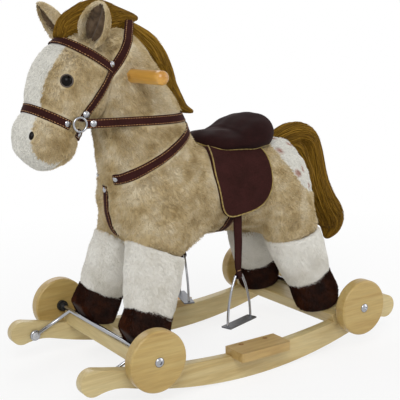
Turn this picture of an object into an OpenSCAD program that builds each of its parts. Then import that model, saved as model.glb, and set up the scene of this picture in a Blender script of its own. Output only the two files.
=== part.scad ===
// Plush ride-on horse on wooden rockers, with four wheels on two fold-over axles.
// Millimetres. +X is the horse's nose, +Y its left side, +Z up, and the floor is z = 0.

/* [Rockers] */
// Thickness of a rocker board
rocker_t = 18; // [12:0.5:24]
// Clear width between the two rockers
rocker_gap = 260; // [230:1:290]
// Height of the rocker in its middle
rocker_h = 43; // [36:0.5:48]
// Radius of the rocking edge
rocker_r = 820; // [760:5:900]
// Distance from the middle of the rocker to its tip
rocker_reach = 328; // [315:1:345]
// Radius of the rounded tip
tip_r = 21; // [19:0.5:24]
// Height of the tip's centre above the floor
tip_z = 60; // [57:0.5:63]
// Radius of the hollow under the rocker just behind the tip
neck_r = 90; // [60:5:140]

/* [Crossbars and footrests] */
// Width of a crossbar along the rocker
bar_w = 43; // [38:0.5:48]
// Thickness of a crossbar
bar_t = 22; // [18:0.5:24]
// Distance from the middle of the rocker to the middle of a crossbar
bar_x = 194; // [185:1:205]
// Height of a crossbar's top face above the rocking edge below it
bar_high = 50.5; // [48:0.5:54]
// Length of a footrest
step_l = 102; // [80:1:120]
// Width of a footrest, from the rocker's inner face outwards
step_w = 50; // [40:1:60]
// Thickness of a footrest
step_t = 15; // [10:0.5:20]
// Corner radius of a footrest
step_r = 5; // [2:0.5:8]

/* [Wheels and axles] */
// Wheel diameter
wheel_d = 100; // [90:1:110]
// Wheel thickness
wheel_t = 22; // [18:0.5:26]
// Rounding of the wheel's edges
wheel_round = 4; // [2:0.5:6]
// Gap between a rocker and the wheel beside it
wheel_off = 17; // [14:0.5:22]
// Diameter of the axle rod
axle_d = 8; // [7:0.5:9]
// Diameter of the two arms welded to the axle
arm_d = 6; // [5:0.25:6.5]
// Distance from the middle of the rocker to an axle's pivot
pivot_x = 285; // [280:1:292]
// Height of the axle's pivot
pivot_z = 53; // [50:0.5:56]
// Diameter of the shoulder screw that the arm turns on
pivot_d = 6; // [5:0.25:7]
// Outer diameter of the bush between rocker and wheel
bush_d = 20; // [16:0.5:24]
// Length of that bush
bush_l = 13; // [10:0.5:16]

/* [Plush horse] */
// Height of the hoof seam above the floor
fetlock_z = 128; // [118:1:136]
// Radius of a leg at the hoof seam
fetlock_r = 39; // [35:0.5:42]
// Radius of a leg at the top of its white stocking
stocking_r = 49; // [44:0.5:52]
// Rounding of a hoof's sole
sole_round = 17; // [10:1:24]
// Diameter of the eyes
eye_d = 21; // [16:0.5:26]
// Length of an ear
ear_l = 109; // [98:1:118]
// Outward lean of the ears
ear_splay = 53; // [44:1:58]

/* [Handle and inner frame] */
// Diameter of the hand grip
grip_d = 22; // [18:0.5:26]
// Length of the hand grip
grip_l = 300; // [270:1:330]
// Diameter of a leg post
post_d = 24; // [18:0.5:28]
// Thickness of the spine board and the neck post
spine_t = 18; // [12:0.5:22]
// Width of the spine board
spine_w = 96; // [80:1:110]

/* [Tack] */
// Width of the straps
strap_w = 15; // [11:0.5:18]
// Thickness of the straps
strap_t = 2.2; // [1.5:0.1:3]
// Thickness of a saddle flap
flap_t = 6; // [4:0.5:7]
// Width of a stirrup leather
leather_w = 15; // [12:0.5:18]
// Thickness of a stirrup leather
leather_t = 3.4; // [2.5:0.1:4]
// Drop from the leather's pivot to the stirrup's top bar
leather_l = 112; // [95:1:122]
// Wire diameter of a stirrup
wire_d = 4; // [3:0.25:5]
// Height of a stirrup from its top bar to its tread
stirrup_h = 83; // [70:1:90]
// Length of a stirrup's tread
tread_l = 78; // [70:1:90]
// Width of a stirrup's tread
tread_w = 20; // [14:1:28]
// Thickness of a stirrup's tread
tread_t = 2.5; // [1.5:0.5:4]
// Turn of the left stirrup about its leather
left_turn = 18; // [0:1:90]
// Turn of the right stirrup about its leather
right_turn = 72; // [0:1:90]

/* [Hidden] */

$fn = 64;
far = 1000;
// Clearances: soft pieces on each other, pieces that turn past each other, and a turning fit
soft_gap = 0.2;
turn_gap = 0.35;
fit_gap = 0.06;

pine = "#cdb882";
varnish = "#c9963c";
steel = "#c8c8cc";
black = "#1c1c1c";
tan_plush = "#a89468";
white_plush = "#d8d6d2";
hoof_plush = "#3a1a10";
hair = "#7a5a1e";
suede = "#33191a";

// Rocker and crossbars
rocker_in = rocker_gap / 2;
rocker_out = rocker_in + rocker_t;
rocker_mid = rocker_in + rocker_t / 2;
tip_x = rocker_reach - tip_r;
bar_top_r = rocker_r - bar_high;
bar_tilt = asin(bar_x / bar_top_r);
// The top edge is an arc through the middle that runs into the tip's round
top_r = (pow(tip_x, 2) + pow(rocker_h - tip_z, 2) - pow(tip_r, 2)) / (2 * (tip_r + tip_z - rocker_h));

// Axle: the rod rests over the outer top corner of its crossbar
bar_corner_x = bar_x + bar_w / 2 * cos(bar_tilt);
bar_corner_z = rocker_r - bar_top_r * cos(bar_tilt) + bar_w / 2 * sin(bar_tilt);
axle_lift = axle_d / 2 + turn_gap;
axle_x = bar_corner_x - axle_lift * sin(bar_tilt);
axle_z = bar_corner_z + axle_lift * cos(bar_tilt);
arm_l = norm([pivot_x - axle_x, pivot_z - axle_z]);
arm_drop = atan2(axle_z - pivot_z, pivot_x - axle_x);
// The arm's end is flattened a little into a ring round the pivot screw
ring_d = arm_d + 0.8;
loop_r = pivot_d / 2 + fit_gap + ring_d / 2;
arm_y = rocker_in - turn_gap - ring_d / 2;
wheel_in = rocker_out + wheel_off;
wheel_out = wheel_in + wheel_t;
sweep_r = arm_l + axle_d / 2 + turn_gap;
// The footrests sit on flats cut into the rockers' top edges
step_z = rocker_h - 1;

// Legs: hip (inside the torso), stocking top, fetlock and foot, front and rear, on the left side
front_leg = [[114, 36, 292], [140, 58, 226], [171, 84, fetlock_z]];
rear_leg = [[-128, 40, 292], [-152, 61, 210], [-173, 82, fetlock_z]];
foot_y = 90;
front_seam_tilt = 25;
rear_seam_tilt = -12;
hip_r = 60;

// Rows of the plush forms are [x, z, half height, half width] along a path in the middle plane
torso_rows = [
  [-216, 281, 0, 0], [-210, 282, 35, 39], [-191, 285, 60, 64], [-161, 291, 79, 83], [-119, 298, 86, 94],
  [-60, 305, 82, 93], [10, 306, 80, 91], [80, 309, 86, 93], [130, 313, 88, 91], [165, 316, 76, 78],
  [186, 318, 50, 52], [193, 319, 0, 0]
];
neck_rows = [
  [98, 285, 0, 0], [99, 290, 55, 50], [105, 315, 80, 72], [112, 345, 87, 78], [119, 382, 84, 74],
  [130, 422, 79, 67], [145, 462, 71, 60], [160, 502, 63, 55], [174, 537, 54, 50], [183, 563, 42, 42],
  [189, 582, 22, 24], [191, 588, 0, 0]
];
// The head's own frame: local z runs up the face, local x out of the forehead
head_at = [220, 560];
head_tilt = 32.7;
head_rows = [
  [-10, 24, 0, 0], [-10, 17, 31, 30], [-9, -3, 49, 46], [-8, -35, 62, 56], [-6, -65, 66, 58],
  [-5, -95, 62, 55], [-6, -118, 53, 51], [-7, -130, 47, 47], [-7, -145, 49, 48], [-8, -165, 51, 49],
  [-9, -187, 43, 43], [-10, -203, 27, 28], [-10, -211, 0, 0]
];
ear_rows = [
  [0, 0, 0, 0], [0, 3, 12, 11], [0, ear_l * 0.32, 18, 21], [0, ear_l * 0.6, 17, 22],
  [0, ear_l * 0.82, 12, 16], [0, ear_l * 0.95, 6, 8], [0, ear_l, 0, 0]
];
mane_rows = [
  [152, 594, 0, 0], [143, 586, 13, 12], [110, 555, 24, 16], [88, 521, 24, 17], [72, 487, 19, 16],
  [50, 457, 13, 12], [32, 447, 0, 0]
];
forelock_rows = [
  [258, 586, 0, 0], [248, 588, 18, 9], [218, 592, 34, 15], [192, 594, 38, 17], [174, 595, 26, 14],
  [165, 595, 0, 0]
];
tail_rows = [
  [-146, 364, 0, 0], [-158, 372, 15, 17], [-186, 381, 20, 22], [-214, 383, 21, 24], [-236, 369, 23, 27],
  [-247, 335, 24, 28], [-256, 290, 25, 29], [-273, 248, 28, 30], [-294, 213, 30, 29], [-305, 190, 22, 23],
  [-306, 172, 0, 0]
];
seat_rows = [
  [30, 386, 0, 0], [25, 386, 13, 32], [6, 386, 20, 54], [-32, 385, 23, 71], [-68, 391, 28, 75],
  [-93, 397, 35, 71], [-112, 396, 30, 56], [-123, 392, 14, 27], [-126, 391, 0, 0]
];
ear_at = [[235, 569], 41];
ear_face = 45;
ear_lean = 9;

// Tack, in the head's frame: heights along the face and distances out of its axis
brow_z = -16;
nose_z = -130;
cheek_x = -31;
ring_at = [-27, -122];
ring_r = 11;
ring_wire_d = 3.6;
chin_tilt = 41;
rein_z = 436;
rein_from_x = 150;
breast_at = [186, 349];
breast_tilt = 27.5;
breast_open = 44;
girth_x = 6;
girth_w = 24;
flap_in = 92;
flap_top_z = torso_rows[6][1];
// Round corners of a saddle flap: place along, height and radius
flap_corners = [[10, 386, 8], [23, 345, 15], [14, 278, 13], [-31, 320, 49], [-72, 372, 15]];
leather_at = [-8, 272];
leather_y = flap_in + soft_gap - 1.1 - leather_t / 2;
bar_half = 9.5;
leather_loop_r = wire_d / 2 + fit_gap + 2;
grip_at = [166, 512];
bolt_d = 6;
bolt_head_d = 11;
bolt_head_h = 4;
screw_d = 4;
screw_head_d = 9;

// Smooth rows: a spline through the rows, with round ends where the first and last radii are zero
function spline(a, b, c, d, t) =
  0.5 * (2 * b + (c - a) * t + (2 * a - 5 * b + 4 * c - d) * t * t + (3 * b - a - 3 * c + d) * t * t * t);
function folded(row) = [row[0], row[1], -row[2], -row[3]];
function row_at(rows, i) =
  i < 0 ? folded(rows[1]) : i > len(rows) - 1 ? folded(rows[len(rows) - 2]) : rows[i];
function smooth_rows(rows, sub) = [
  for (i = [0 : len(rows) - 2], k = [0 : sub - 1])
    spline(row_at(rows, i - 1), rows[i], rows[i + 1], row_at(rows, i + 2), k / sub),
  rows[len(rows) - 1]
];
function path_way(rows, i) = let (
  a = rows[max(i - 1, 0)],
  b = rows[min(i + 1, len(rows) - 1)]
) [b[0] - a[0], b[1] - a[1]] / norm([b[0] - a[0], b[1] - a[1]]);

// Points of a plush form: ellipses square to a path in the middle plane, grown outwards by the value given
function plush_points(rows, grow, sides, sub) = let (
  list = smooth_rows(rows, sub),
  last = len(list) - 1,
  first_way = path_way(list, 0),
  last_way = path_way(list, last)
) [
  [list[0][0] - grow * first_way[0], 0, list[0][1] - grow * first_way[1]],
  for (i = [1 : last - 1], k = [0 : sides - 1])
    let (
      way = path_way(list, i),
      up = (list[i][2] + grow) * cos(360 * k / sides),
      out = (list[i][3] + grow) * sin(360 * k / sides)
    )
    [list[i][0] - way[1] * up, out, list[i][1] + way[0] * up],
  [list[last][0] + grow * last_way[0], 0, list[last][1] + grow * last_way[1]]
];
module plush(rows, grow = 0, sides = 28, sub = 2) {
  points = plush_points(rows, grow, sides, sub);
  end = len(points) - 1;
  rings = (end - 1) / sides;
  faces = concat(
    [for (k = [0 : sides - 1]) [0, 1 + (k + 1) % sides, 1 + k]],
    [for (i = [0 : rings - 2], k = [0 : sides - 1], half = [0, 1])
      let (a = 1 + i * sides + k, b = 1 + i * sides + (k + 1) % sides)
      half == 0 ? [a, b + sides, a + sides] : [a, b, b + sides]],
    [for (k = [0 : sides - 1])
      [end, 1 + (rings - 1) * sides + k, 1 + (rings - 1) * sides + (k + 1) % sides]]
  );
  polyhedron(points, faces);
}

// Keeps a soft piece as one closed skin of flat triangles, whatever cuts it
module skinned() resize([0, 0, 0]) children();
module torso_form(grow = 0) plush(torso_rows, grow, 28);
module neck_form(grow = 0) plush(neck_rows, grow, 22);
module at_head() translate([head_at[0], 0, head_at[1]]) rotate([0, -head_tilt, 0]) children();
head_sides = 22;
module head_form(grow = 0) at_head() plush(head_rows, grow, head_sides);

// The origin is under the middle of the whole toy: the muzzle reaches further than the rockers' front tips
muzzle_x = max([for (p = plush_points(head_rows, 0, head_sides, 2))
  head_at[0] + p[0] * cos(head_tilt) - p[2] * sin(head_tilt)]);
mid_x = (rocker_reach - muzzle_x) / 2;

// Puts the rockers' middle at its place and repeats pieces on both sides
module placed() translate([mid_x, 0, 0]) children();
module on_side(side) mirror([0, side == "left" ? 0 : 1, 0]) children();
module at_end(end) mirror([end == "front" ? 0 : 1, 0, 0]) children();
module both_sides() for (side = ["left", "right"]) on_side(side) children();
module both_ends() for (end = ["front", "rear"]) at_end(end) children();
// A round bar between two points
module bar(from, to, d) {
  way = to - from;
  translate(from)
    rotate([0, acos(way[2] / norm(way)), atan2(way[1], way[0])])
      cylinder(h = norm(way), d = d);
}

// Middle of the hollow's arc: it touches the rocking edge and the tip's round
hollow_far = rocker_r + neck_r;
hollow_near = tip_r + neck_r;
to_tip = [tip_x, tip_z - rocker_r];
hollow_along = (pow(norm(to_tip), 2) + pow(hollow_far, 2) - pow(hollow_near, 2)) / (2 * norm(to_tip));
hollow_aside = sqrt(pow(hollow_far, 2) - pow(hollow_along, 2));
hollow_at = [0, rocker_r] + hollow_along * to_tip / norm(to_tip)
  + hollow_aside * [to_tip[1], -to_tip[0]] / norm(to_tip);

to_top = [-tip_x, rocker_h + top_r - tip_z] / norm([-tip_x, rocker_h + top_r - tip_z]);
module rocker_outline() {
  difference() {
    union() {
      intersection() {
        translate([0, rocker_r]) circle(r = rocker_r, $fn = 360);
        translate([tip_r - tip_x, -1]) square([2 * (tip_x - tip_r), tip_z + tip_r]);
      }
      both_tips() {
        translate([tip_x, tip_z]) circle(r = tip_r);
        polygon([
          hollow_at,
          [tip_x, tip_z],
          [tip_x, tip_z] + 1.5 * tip_r * to_top,
          [tip_x - 3 * tip_r, tip_z + 1.5 * tip_r],
          hollow_at + (neck_r + tip_r / 2) / hollow_far * ([0, rocker_r] - hollow_at)
        ]);
      }
    }
    translate([0, rocker_h + top_r]) circle(r = top_r, $fn = 360);
    both_tips() translate(hollow_at) circle(r = neck_r, $fn = 180);
  }
}
module both_tips() {
  children();
  mirror([1, 0]) children();
}

// A crossbar's own frame: origin at the middle of its top face
module at_bar(end)
  at_end(end)
    translate([0, 0, rocker_r])
      rotate([0, -bar_tilt, 0])
        translate([0, 0, -bar_top_r])
          children();
module bar_block(end, extra = 0) {
  at_bar(end)
    translate([-bar_w / 2, -rocker_out - extra, -bar_t])
      cube([bar_w, 2 * (rocker_out + extra), bar_t]);
}
module crossbar_bolt_holes(end)
  at_bar(end)
    both_sides()
      translate([0, rocker_mid, 0]) {
        translate([0, 0, -bolt_head_h - 3]) cylinder(h = bolt_head_h + 4, d = bolt_head_d + 1);
        translate([0, 0, -bar_t - 22]) cylinder(h = bar_t + 22, d = bolt_d);
      }
// Foot of a leg post: where its axis meets the crossbar, on the crossbar's middle line
function foot_top(end) = [
  (end == "front" ? 1 : -1) * bar_x, foot_y, rocker_r - bar_top_r * cos(bar_tilt)
];
module leg_bolt_holes(end)
  at_bar(end)
    both_sides()
      translate([0, foot_y, -bar_t - 1])
        cylinder(h = bar_t + 30, d = bolt_d);

module rocker(side) {
  color(pine) placed() difference() {
    on_side(side)
      translate([0, rocker_out, 0]) rotate([90, 0, 0]) linear_extrude(rocker_t) rocker_outline();
    both_ends() {
      bar_block("front", 1);
      on_side(side) crossbar_bolt_hole_in_rocker();
      on_side(side)
        translate([pivot_x, rocker_in - 1, pivot_z])
          rotate([-90, 0, 0]) cylinder(h = 13, d = pivot_d);
    }
    on_side(side) step_flat();
    on_side(side) step_screw_holes();
  }
}
module crossbar_bolt_hole_in_rocker()
  at_bar("front") translate([0, rocker_mid, -bar_t - 22]) cylinder(h = bar_t + 22, d = bolt_d);

module crossbar(end) {
  color(pine) placed() difference() {
    bar_block(end);
    crossbar_bolt_holes(end);
    leg_bolt_holes(end);
  }
}

// The flat in a rocker's top edge that a footrest sits on
module step_flat()
  translate([-step_l / 2 - soft_gap, rocker_in - 1, step_z])
    cube([step_l + 2 * soft_gap, step_w + 1, step_t + 1]);
module step_screw_holes()
  for (x = [-step_l / 4, step_l / 4])
    translate([x, rocker_mid + 1, step_z - 20]) cylinder(h = 20 + step_t, d = screw_d);
module footrest(side) {
  color(pine) placed() on_side(side) difference() {
    translate([0, rocker_in, step_z]) linear_extrude(step_t) difference() {
      translate([-step_l / 2, 0]) square([step_l, step_w]);
      for (half = [0, 1]) mirror([half, 0])
        translate([step_l / 2 - step_r, step_w - step_r]) difference() {
          square(step_r + 1);
          circle(r = step_r);
        }
    }
    step_screw_holes();
    for (x = [-step_l / 4, step_l / 4])
      translate([x, rocker_mid + 1, step_z + step_t - 3])
        cylinder(h = 3.01, d1 = screw_d, d2 = screw_head_d);
  }
}

module crossbar_bolts() {
  color(steel) placed() both_ends() at_bar("front") both_sides() translate([0, rocker_mid, 0]) {
    translate([0, 0, -bolt_head_h - 3]) difference() {
      cylinder(h = bolt_head_h, d = bolt_head_d);
      translate([0, 0, 1]) cylinder(h = bolt_head_h, d = bolt_head_d / 2, $fn = 6);
    }
    translate([0, 0, -bar_t - 21]) cylinder(h = bar_t + 21 - bolt_head_h - 2.9, d = bolt_d);
  }
}
module footrest_screws() {
  color(varnish) placed() both_sides() for (x = [-step_l / 4, step_l / 4])
    translate([x, rocker_mid + 1, step_z]) {
      translate([0, 0, step_t - 3]) cylinder(h = 2.9, d1 = screw_d, d2 = screw_head_d - 0.3);
      translate([0, 0, -19]) cylinder(h = 19 + step_t - 2.9, d = screw_d);
    }
}
module pivot_screws() {
  color(steel) placed() both_ends() both_sides()
    translate([pivot_x, rocker_in + 12, pivot_z]) rotate([90, 0, 0]) {
      cylinder(h = 12 + ring_d + 2 * turn_gap + 0.1, d = pivot_d);
      translate([0, 0, 12 + ring_d + 2 * turn_gap])
        cylinder(h = 3, d1 = pivot_d * 2.2, d2 = pivot_d * 1.5);
    }
}
module leg_bolts() {
  color(steel) placed() both_ends() at_bar("front") both_sides() translate([0, foot_y, -bar_t]) {
    translate([0, 0, -bolt_head_h]) cylinder(h = bolt_head_h, d = bolt_head_d);
    translate([0, 0, -0.1]) cylinder(h = bar_t + 26, d = bolt_d);
  }
}

// Axle: a straight rod with two welded arms that end in loops round the pivot screws
module axle(end) {
  color(steel) placed() at_end(end) difference() {
    union() {
      translate([axle_x, wheel_out, axle_z])
        rotate([90, 0, 0]) cylinder(h = 2 * wheel_out, d = axle_d);
      both_sides() {
        translate([axle_x, arm_y, axle_z])
          rotate([0, 90 + arm_drop, 0]) cylinder(h = arm_l - loop_r, d = arm_d);
        translate([pivot_x, arm_y, pivot_z])
          rotate([90, 0, 0]) rotate_extrude() translate([loop_r, 0]) circle(d = ring_d);
      }
    }
    both_sides()
      translate([axle_x, wheel_out + 1, axle_z]) rotate([90, 0, 0]) cylinder(h = 13, d = axle_d * 0.6);
  }
}
module bushes(end) {
  color(black) placed() at_end(end) both_sides()
    translate([axle_x, wheel_in - turn_gap, axle_z]) rotate([90, 0, 0])
      rotate_extrude() difference() {
        union() {
          square([bush_d / 2, bush_l * 0.45]);
          translate([0, bush_l * 0.45]) square([bush_d * 0.36, bush_l * 0.55]);
        }
        translate([-1, -1]) square([1 + axle_d / 2, bush_l + 2]);
      }
}
module axle_screws(end) {
  color(steel) placed() at_end(end) both_sides()
    translate([axle_x, wheel_out + turn_gap, axle_z]) rotate([-90, 0, 0]) {
      difference() {
        rotate_extrude() intersection() {
          translate([0, 4 - 11]) circle(r = 11);
          square([8, 4]);
        }
        translate([0, 0, 1.5]) cylinder(h = 4, d = 6, $fn = 6);
      }
      translate([0, 0, -turn_gap - 12]) cylinder(h = 12 + turn_gap + 0.1, d = axle_d * 0.6);
    }
}
module wheel(end, side) {
  color(pine) placed() at_end(end) on_side(side)
    translate([axle_x, wheel_in, axle_z]) rotate([-90, 0, 0])
      rotate_extrude($fn = 128) difference() {
        union() {
          square([wheel_d / 2 - wheel_round, wheel_t]);
          translate([0, wheel_round]) square([wheel_d / 2, wheel_t - 2 * wheel_round]);
          for (z = [wheel_round, wheel_t - wheel_round])
            translate([wheel_d / 2 - wheel_round, z]) circle(r = wheel_round);
        }
        translate([-1, -1]) square([1 + axle_d / 2 + fit_gap, wheel_t + 2]);
      }
}

// Inner frame
spine_z = 300;
neck_post_foot = [100, 309];
function leg_rows(end) = end == "front" ? front_leg : rear_leg;
module below_bar(end)
  at_bar(end) translate([-far / 2, -far / 2, -far]) cube([far, far, far]);
module below_spine() translate([-far, -far, spine_z - spine_t / 2]) cube([2 * far, 2 * far, far]);
module leg_posts() {
  color(pine) placed() for (end = ["front", "rear"]) both_sides() difference() {
    hip = leg_rows(end)[0];
    foot = foot_top(end);
    top = [hip[0], hip[1], spine_z - spine_t / 2];
    way = (foot - top) / norm(foot - top);
    bar(top - 20 * way, foot + 20 * way, post_d);
    below_bar(end);
    below_spine();
    leg_bolt_holes(end);
  }
}
module leg_post_room(end) {
  hip = leg_rows(end)[0];
  foot = foot_top(end);
  top = [hip[0], hip[1], spine_z - spine_t / 2];
  way = (foot - top) / norm(foot - top);
  bar(top - 20 * way, foot + 20 * way, post_d + 3 * soft_gap, $fn = 24);
}
module spine_block(extra = 0)
  translate([rear_leg[0][0] - 30 - extra, -spine_w / 2 - extra, spine_z - spine_t / 2 - extra])
    cube([front_leg[0][0] - rear_leg[0][0] + 60 + 2 * extra, spine_w + 2 * extra, spine_t + 2 * extra]);
module spine_board() {
  color(pine) placed() spine_block();
}
module neck_post_block(extra = 0) {
  rise = [grip_at[0] - neck_post_foot[0], grip_at[1] - neck_post_foot[1]];
  translate([neck_post_foot[0], 0, neck_post_foot[1]])
    rotate([0, atan2(rise[0], rise[1]), 0])
      translate([-22 - extra, -spine_t / 2 - extra, -40])
        cube([44 + 2 * extra, spine_t + 2 * extra, norm(rise) + 40 + grip_d + extra]);
}
module above_spine() translate([-far, -far, spine_z + spine_t / 2 - far]) cube([2 * far, 2 * far, far]);
module grip_bar(d, l) translate([grip_at[0], l / 2, grip_at[1]]) rotate([90, 0, 0]) cylinder(h = l, d = d);
module neck_post() {
  color(pine) placed() difference() {
    neck_post_block();
    above_spine();
    grip_bar(grip_d, 60);
  }
}
module handle() {
  color(varnish) placed() translate([grip_at[0], 0, grip_at[1]]) rotate([90, 0, 0]) {
    cylinder(h = grip_l - grip_d * 0.6, d = grip_d, center = true);
    for (end = [-1, 1])
      translate([0, 0, end * (grip_l / 2 - grip_d * 0.3)])
        intersection() {
          translate([0, 0, -end * grip_d * 0.267]) sphere(r = grip_d * 0.567);
          cylinder(h = grip_d, d = grip_d, center = true);
        }
  }
}
module frame_room() {
  spine_block(soft_gap);
  difference() {
    neck_post_block(soft_gap);
    above_spine();
  }
  grip_bar(grip_d + 3 * soft_gap, grip_l, $fn = 24);
  for (end = ["front", "rear"]) both_sides() leg_post_room(end);
}

// Legs
module seam(end) {
  top = leg_rows(end)[1];
  translate(top) rotate([0, end == "front" ? -front_seam_tilt : -rear_seam_tilt, 0]) children();
}
module fetlock(end) {
  low = leg_rows(end)[2];
  foot = foot_top(end);
  way = low - foot;
  translate(low) rotate([0, acos(way[2] / norm(way)), atan2(way[1], way[0])]) children();
}
module under() translate([-far / 2, -far / 2, -far]) cube([far, far, far]);
module over() translate([-far / 2, -far / 2, 0]) cube([far, far, far]);
// A limb that swells at the hip and tapers to the fetlock, turned about its own axis
module limb(end, grow = 0) {
  rows = leg_rows(end);
  way = rows[2] - rows[0];
  long = norm(way);
  at_seam = norm(rows[1] - rows[0]);
  translate(rows[0])
    rotate([0, acos(way[2] / long), atan2(way[1], way[0])])
      rotate_extrude($fn = 22) polygon([
        [0, -hip_r * 0.9 - grow],
        for (a = [-60 : 30 : 0]) [(hip_r + grow) * cos(a), hip_r * 0.9 * sin(a)],
        for (t = [0.25 : 0.25 : 1])
          [hip_r + (stocking_r - hip_r) * t + 2 * sin(180 * t) + grow, at_seam * t],
        for (t = [0.25 : 0.25 : 1])
          [stocking_r + (fetlock_r - stocking_r) * t + 2.5 * sin(180 * t) + grow,
            at_seam + (long - at_seam) * t],
        [fetlock_r + grow, long + 30],
        [0, long + 30]
      ]);
}
module stocking(end, side) {
  color(white_plush) placed() skinned() on_side(side) difference() {
    limb(end);
    seam(end) over();
    fetlock(end) under();
    torso_form(soft_gap);
    leg_post_room(end);
  }
}
module hoof_form(end) {
  low = leg_rows(end)[2];
  foot = foot_top(end);
  deep = norm(low - foot);
  bulge = fetlock_r + 2.5;
  fetlock(end) rotate([180, 0, 0]) rotate_extrude($fn = 64) polygon([
    [0, 0],
    for (t = [0 : 0.25 : 1]) [fetlock_r - 0.5 + 3 * sin(90 * t), (deep - sole_round) * t],
    for (a = [15 : 15 : 90])
      [bulge - sole_round * (1 - cos(a)), deep - sole_round + (sole_round + 8) * sin(a)],
    [0, deep + 8]
  ]);
}
module hoof(end, side) {
  color(hoof_plush) placed() on_side(side) difference() {
    hoof_form(end);
    below_bar(end);
    leg_post_room(end);
    at_end(end)
      translate([pivot_x, 0, pivot_z]) rotate([90, 0, 0])
        cylinder(h = far, r = sweep_r + turn_gap, center = true, $fn = 180);
  }
}

// Plush body
module torso() {
  color(tan_plush) placed() skinned() difference() {
    union() {
      torso_form();
      for (end = ["front", "rear"]) both_sides() difference() {
        limb(end);
        seam(end) under();
      }
    }
    frame_room();
  }
}
module neck() {
  color(tan_plush) placed() skinned() difference() {
    neck_form();
    torso_form(soft_gap);
    frame_room();
  }
}
module head() {
  color(tan_plush) placed() skinned() difference() {
    head_form();
    neck_form(soft_gap);
    grip_bar(grip_d + 3 * soft_gap, grip_l, $fn = 24);
  }
}
module at_ear(side)
  on_side(side)
    translate([ear_at[0][0], ear_at[1], ear_at[0][1]])
      rotate([-ear_splay, 0, 0])
        rotate([0, ear_lean, 0])
          translate([0, 0, -12])
            rotate([0, 0, ear_face])
              children();
module ear_cup(grow = 0) translate([10, 0, 5]) scale(0.85) plush(ear_rows, grow, 12);
module ear(side) {
  color(tan_plush) placed() skinned() difference() {
    at_ear(side) difference() {
      plush(ear_rows, 0, 12);
      ear_cup(0.2);
    }
    head_form(soft_gap);
    neck_form(soft_gap);
    brow_room();
  }
}
module ear_linings() {
  color("#4a3c30") placed() skinned() difference() {
    for (side = ["left", "right"]) at_ear(side) intersection() {
      plush(ear_rows, -0.4, 12);
      difference() {
        ear_cup();
        translate([2.4, 0, 1]) ear_cup();
      }
    }
    head_form(soft_gap);
    brow_room();
  }
}

// Point on the head's side: local [x, z] to the half width there
function head_wide(x, z) = let (
  mid = lookup(-z, [for (r = head_rows) [-r[1], r[0]]]),
  tall = lookup(-z, [for (r = head_rows) [-r[1], r[2]]]),
  wide = lookup(-z, [for (r = head_rows) [-r[1], r[3]]])
) wide * sqrt(max(0, 1 - pow((x - mid) / tall, 2)));
eye_at = [24, -74];
nostril_at = [27, -171];
module eyes() {
  color(black) placed() skinned() difference() {
    at_head() both_sides()
      translate([eye_at[0] - 2, head_wide(eye_at[0], eye_at[1]) - 4, eye_at[1]])
        sphere(d = eye_d, $fn = 24);
    head_form(soft_gap);
  }
}
module nostrils() {
  color(black) placed() skinned() difference() {
    at_head() both_sides()
      translate([nostril_at[0], head_wide(nostril_at[0], nostril_at[1]), nostril_at[1]])
        rotate([0, -20, 0]) hull() for (z = [-3, 3]) translate([0, 0, z]) sphere(d = 7, $fn = 14);
    head_form(soft_gap);
  }
}
// The hair parts where the headstall passes over the poll
module poll_strap_room()
  at_head() translate([cheek_x - strap_w / 2 - 1, -far / 2, -far / 2]) cube([strap_w + 2, far, far]);
module mane() {
  color(hair) placed() skinned() difference() {
    plush(mane_rows, 0, 14);
    neck_form(soft_gap);
    torso_form(soft_gap);
    poll_strap_room();
    translate([-far / 2, -far / 2, rein_z + strap_w / 2 + 1 - far]) cube([far, far, far]);
  }
}
module forelock() {
  color(hair) placed() skinned() difference() {
    plush(forelock_rows, 0, 14);
    neck_form(soft_gap);
    head_form(soft_gap);
    poll_strap_room();
    for (side = ["left", "right"]) at_ear(side) plush(ear_rows, soft_gap, 12);
    brow_slab(2);
  }
}
module tail() {
  color(hair) placed() skinned() difference() {
    plush(tail_rows, 0, 14);
    torso_form(soft_gap);
  }
}

// Saddle
module flap_shell(from, to) {
  difference() {
    union() {
      torso_form(to);
      translate([-far / 2, -flap_in - to, 0]) cube([far, 2 * (flap_in + to), flap_top_z]);
    }
    torso_form(from);
    translate([-far, -flap_in - from, 0]) cube([2 * far, 2 * (flap_in + from), flap_top_z]);
  }
}
module flap_outline(grow = 0)
  hull() for (c = flap_corners) translate([c[0], c[1]]) circle(r = c[2] + grow, $fn = 32);
module flap_column(grow = 0)
  translate([0, far / 2, 0]) rotate([90, 0, 0]) linear_extrude(far) flap_outline(grow);
module saddle_flap(side) {
  color(suede) placed() skinned() on_side(side) difference() {
    intersection() {
      flap_column();
      flap_shell(soft_gap, flap_t);
      translate([-far / 2, soft_gap, 0]) cube([far, far, far]);
    }
    neck_form(soft_gap);
  }
}
module saddle_seat() {
  color(suede) placed() skinned() difference() {
    plush(seat_rows, 0, 24);
    torso_form(flap_t + soft_gap);
    translate([-far / 2, -flap_in - flap_t - soft_gap, 0])
      cube([far, 2 * (flap_in + flap_t + soft_gap), flap_top_z]);
  }
}
module girth() {
  color(suede) placed() skinned() difference() {
    intersection() {
      translate([girth_x - girth_w / 2, -far / 2, 0]) cube([girth_w, far, flap_top_z]);
      difference() {
        torso_form(soft_gap + strap_t);
        torso_form(soft_gap);
      }
    }
    flap_column(soft_gap);
  }
}

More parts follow.
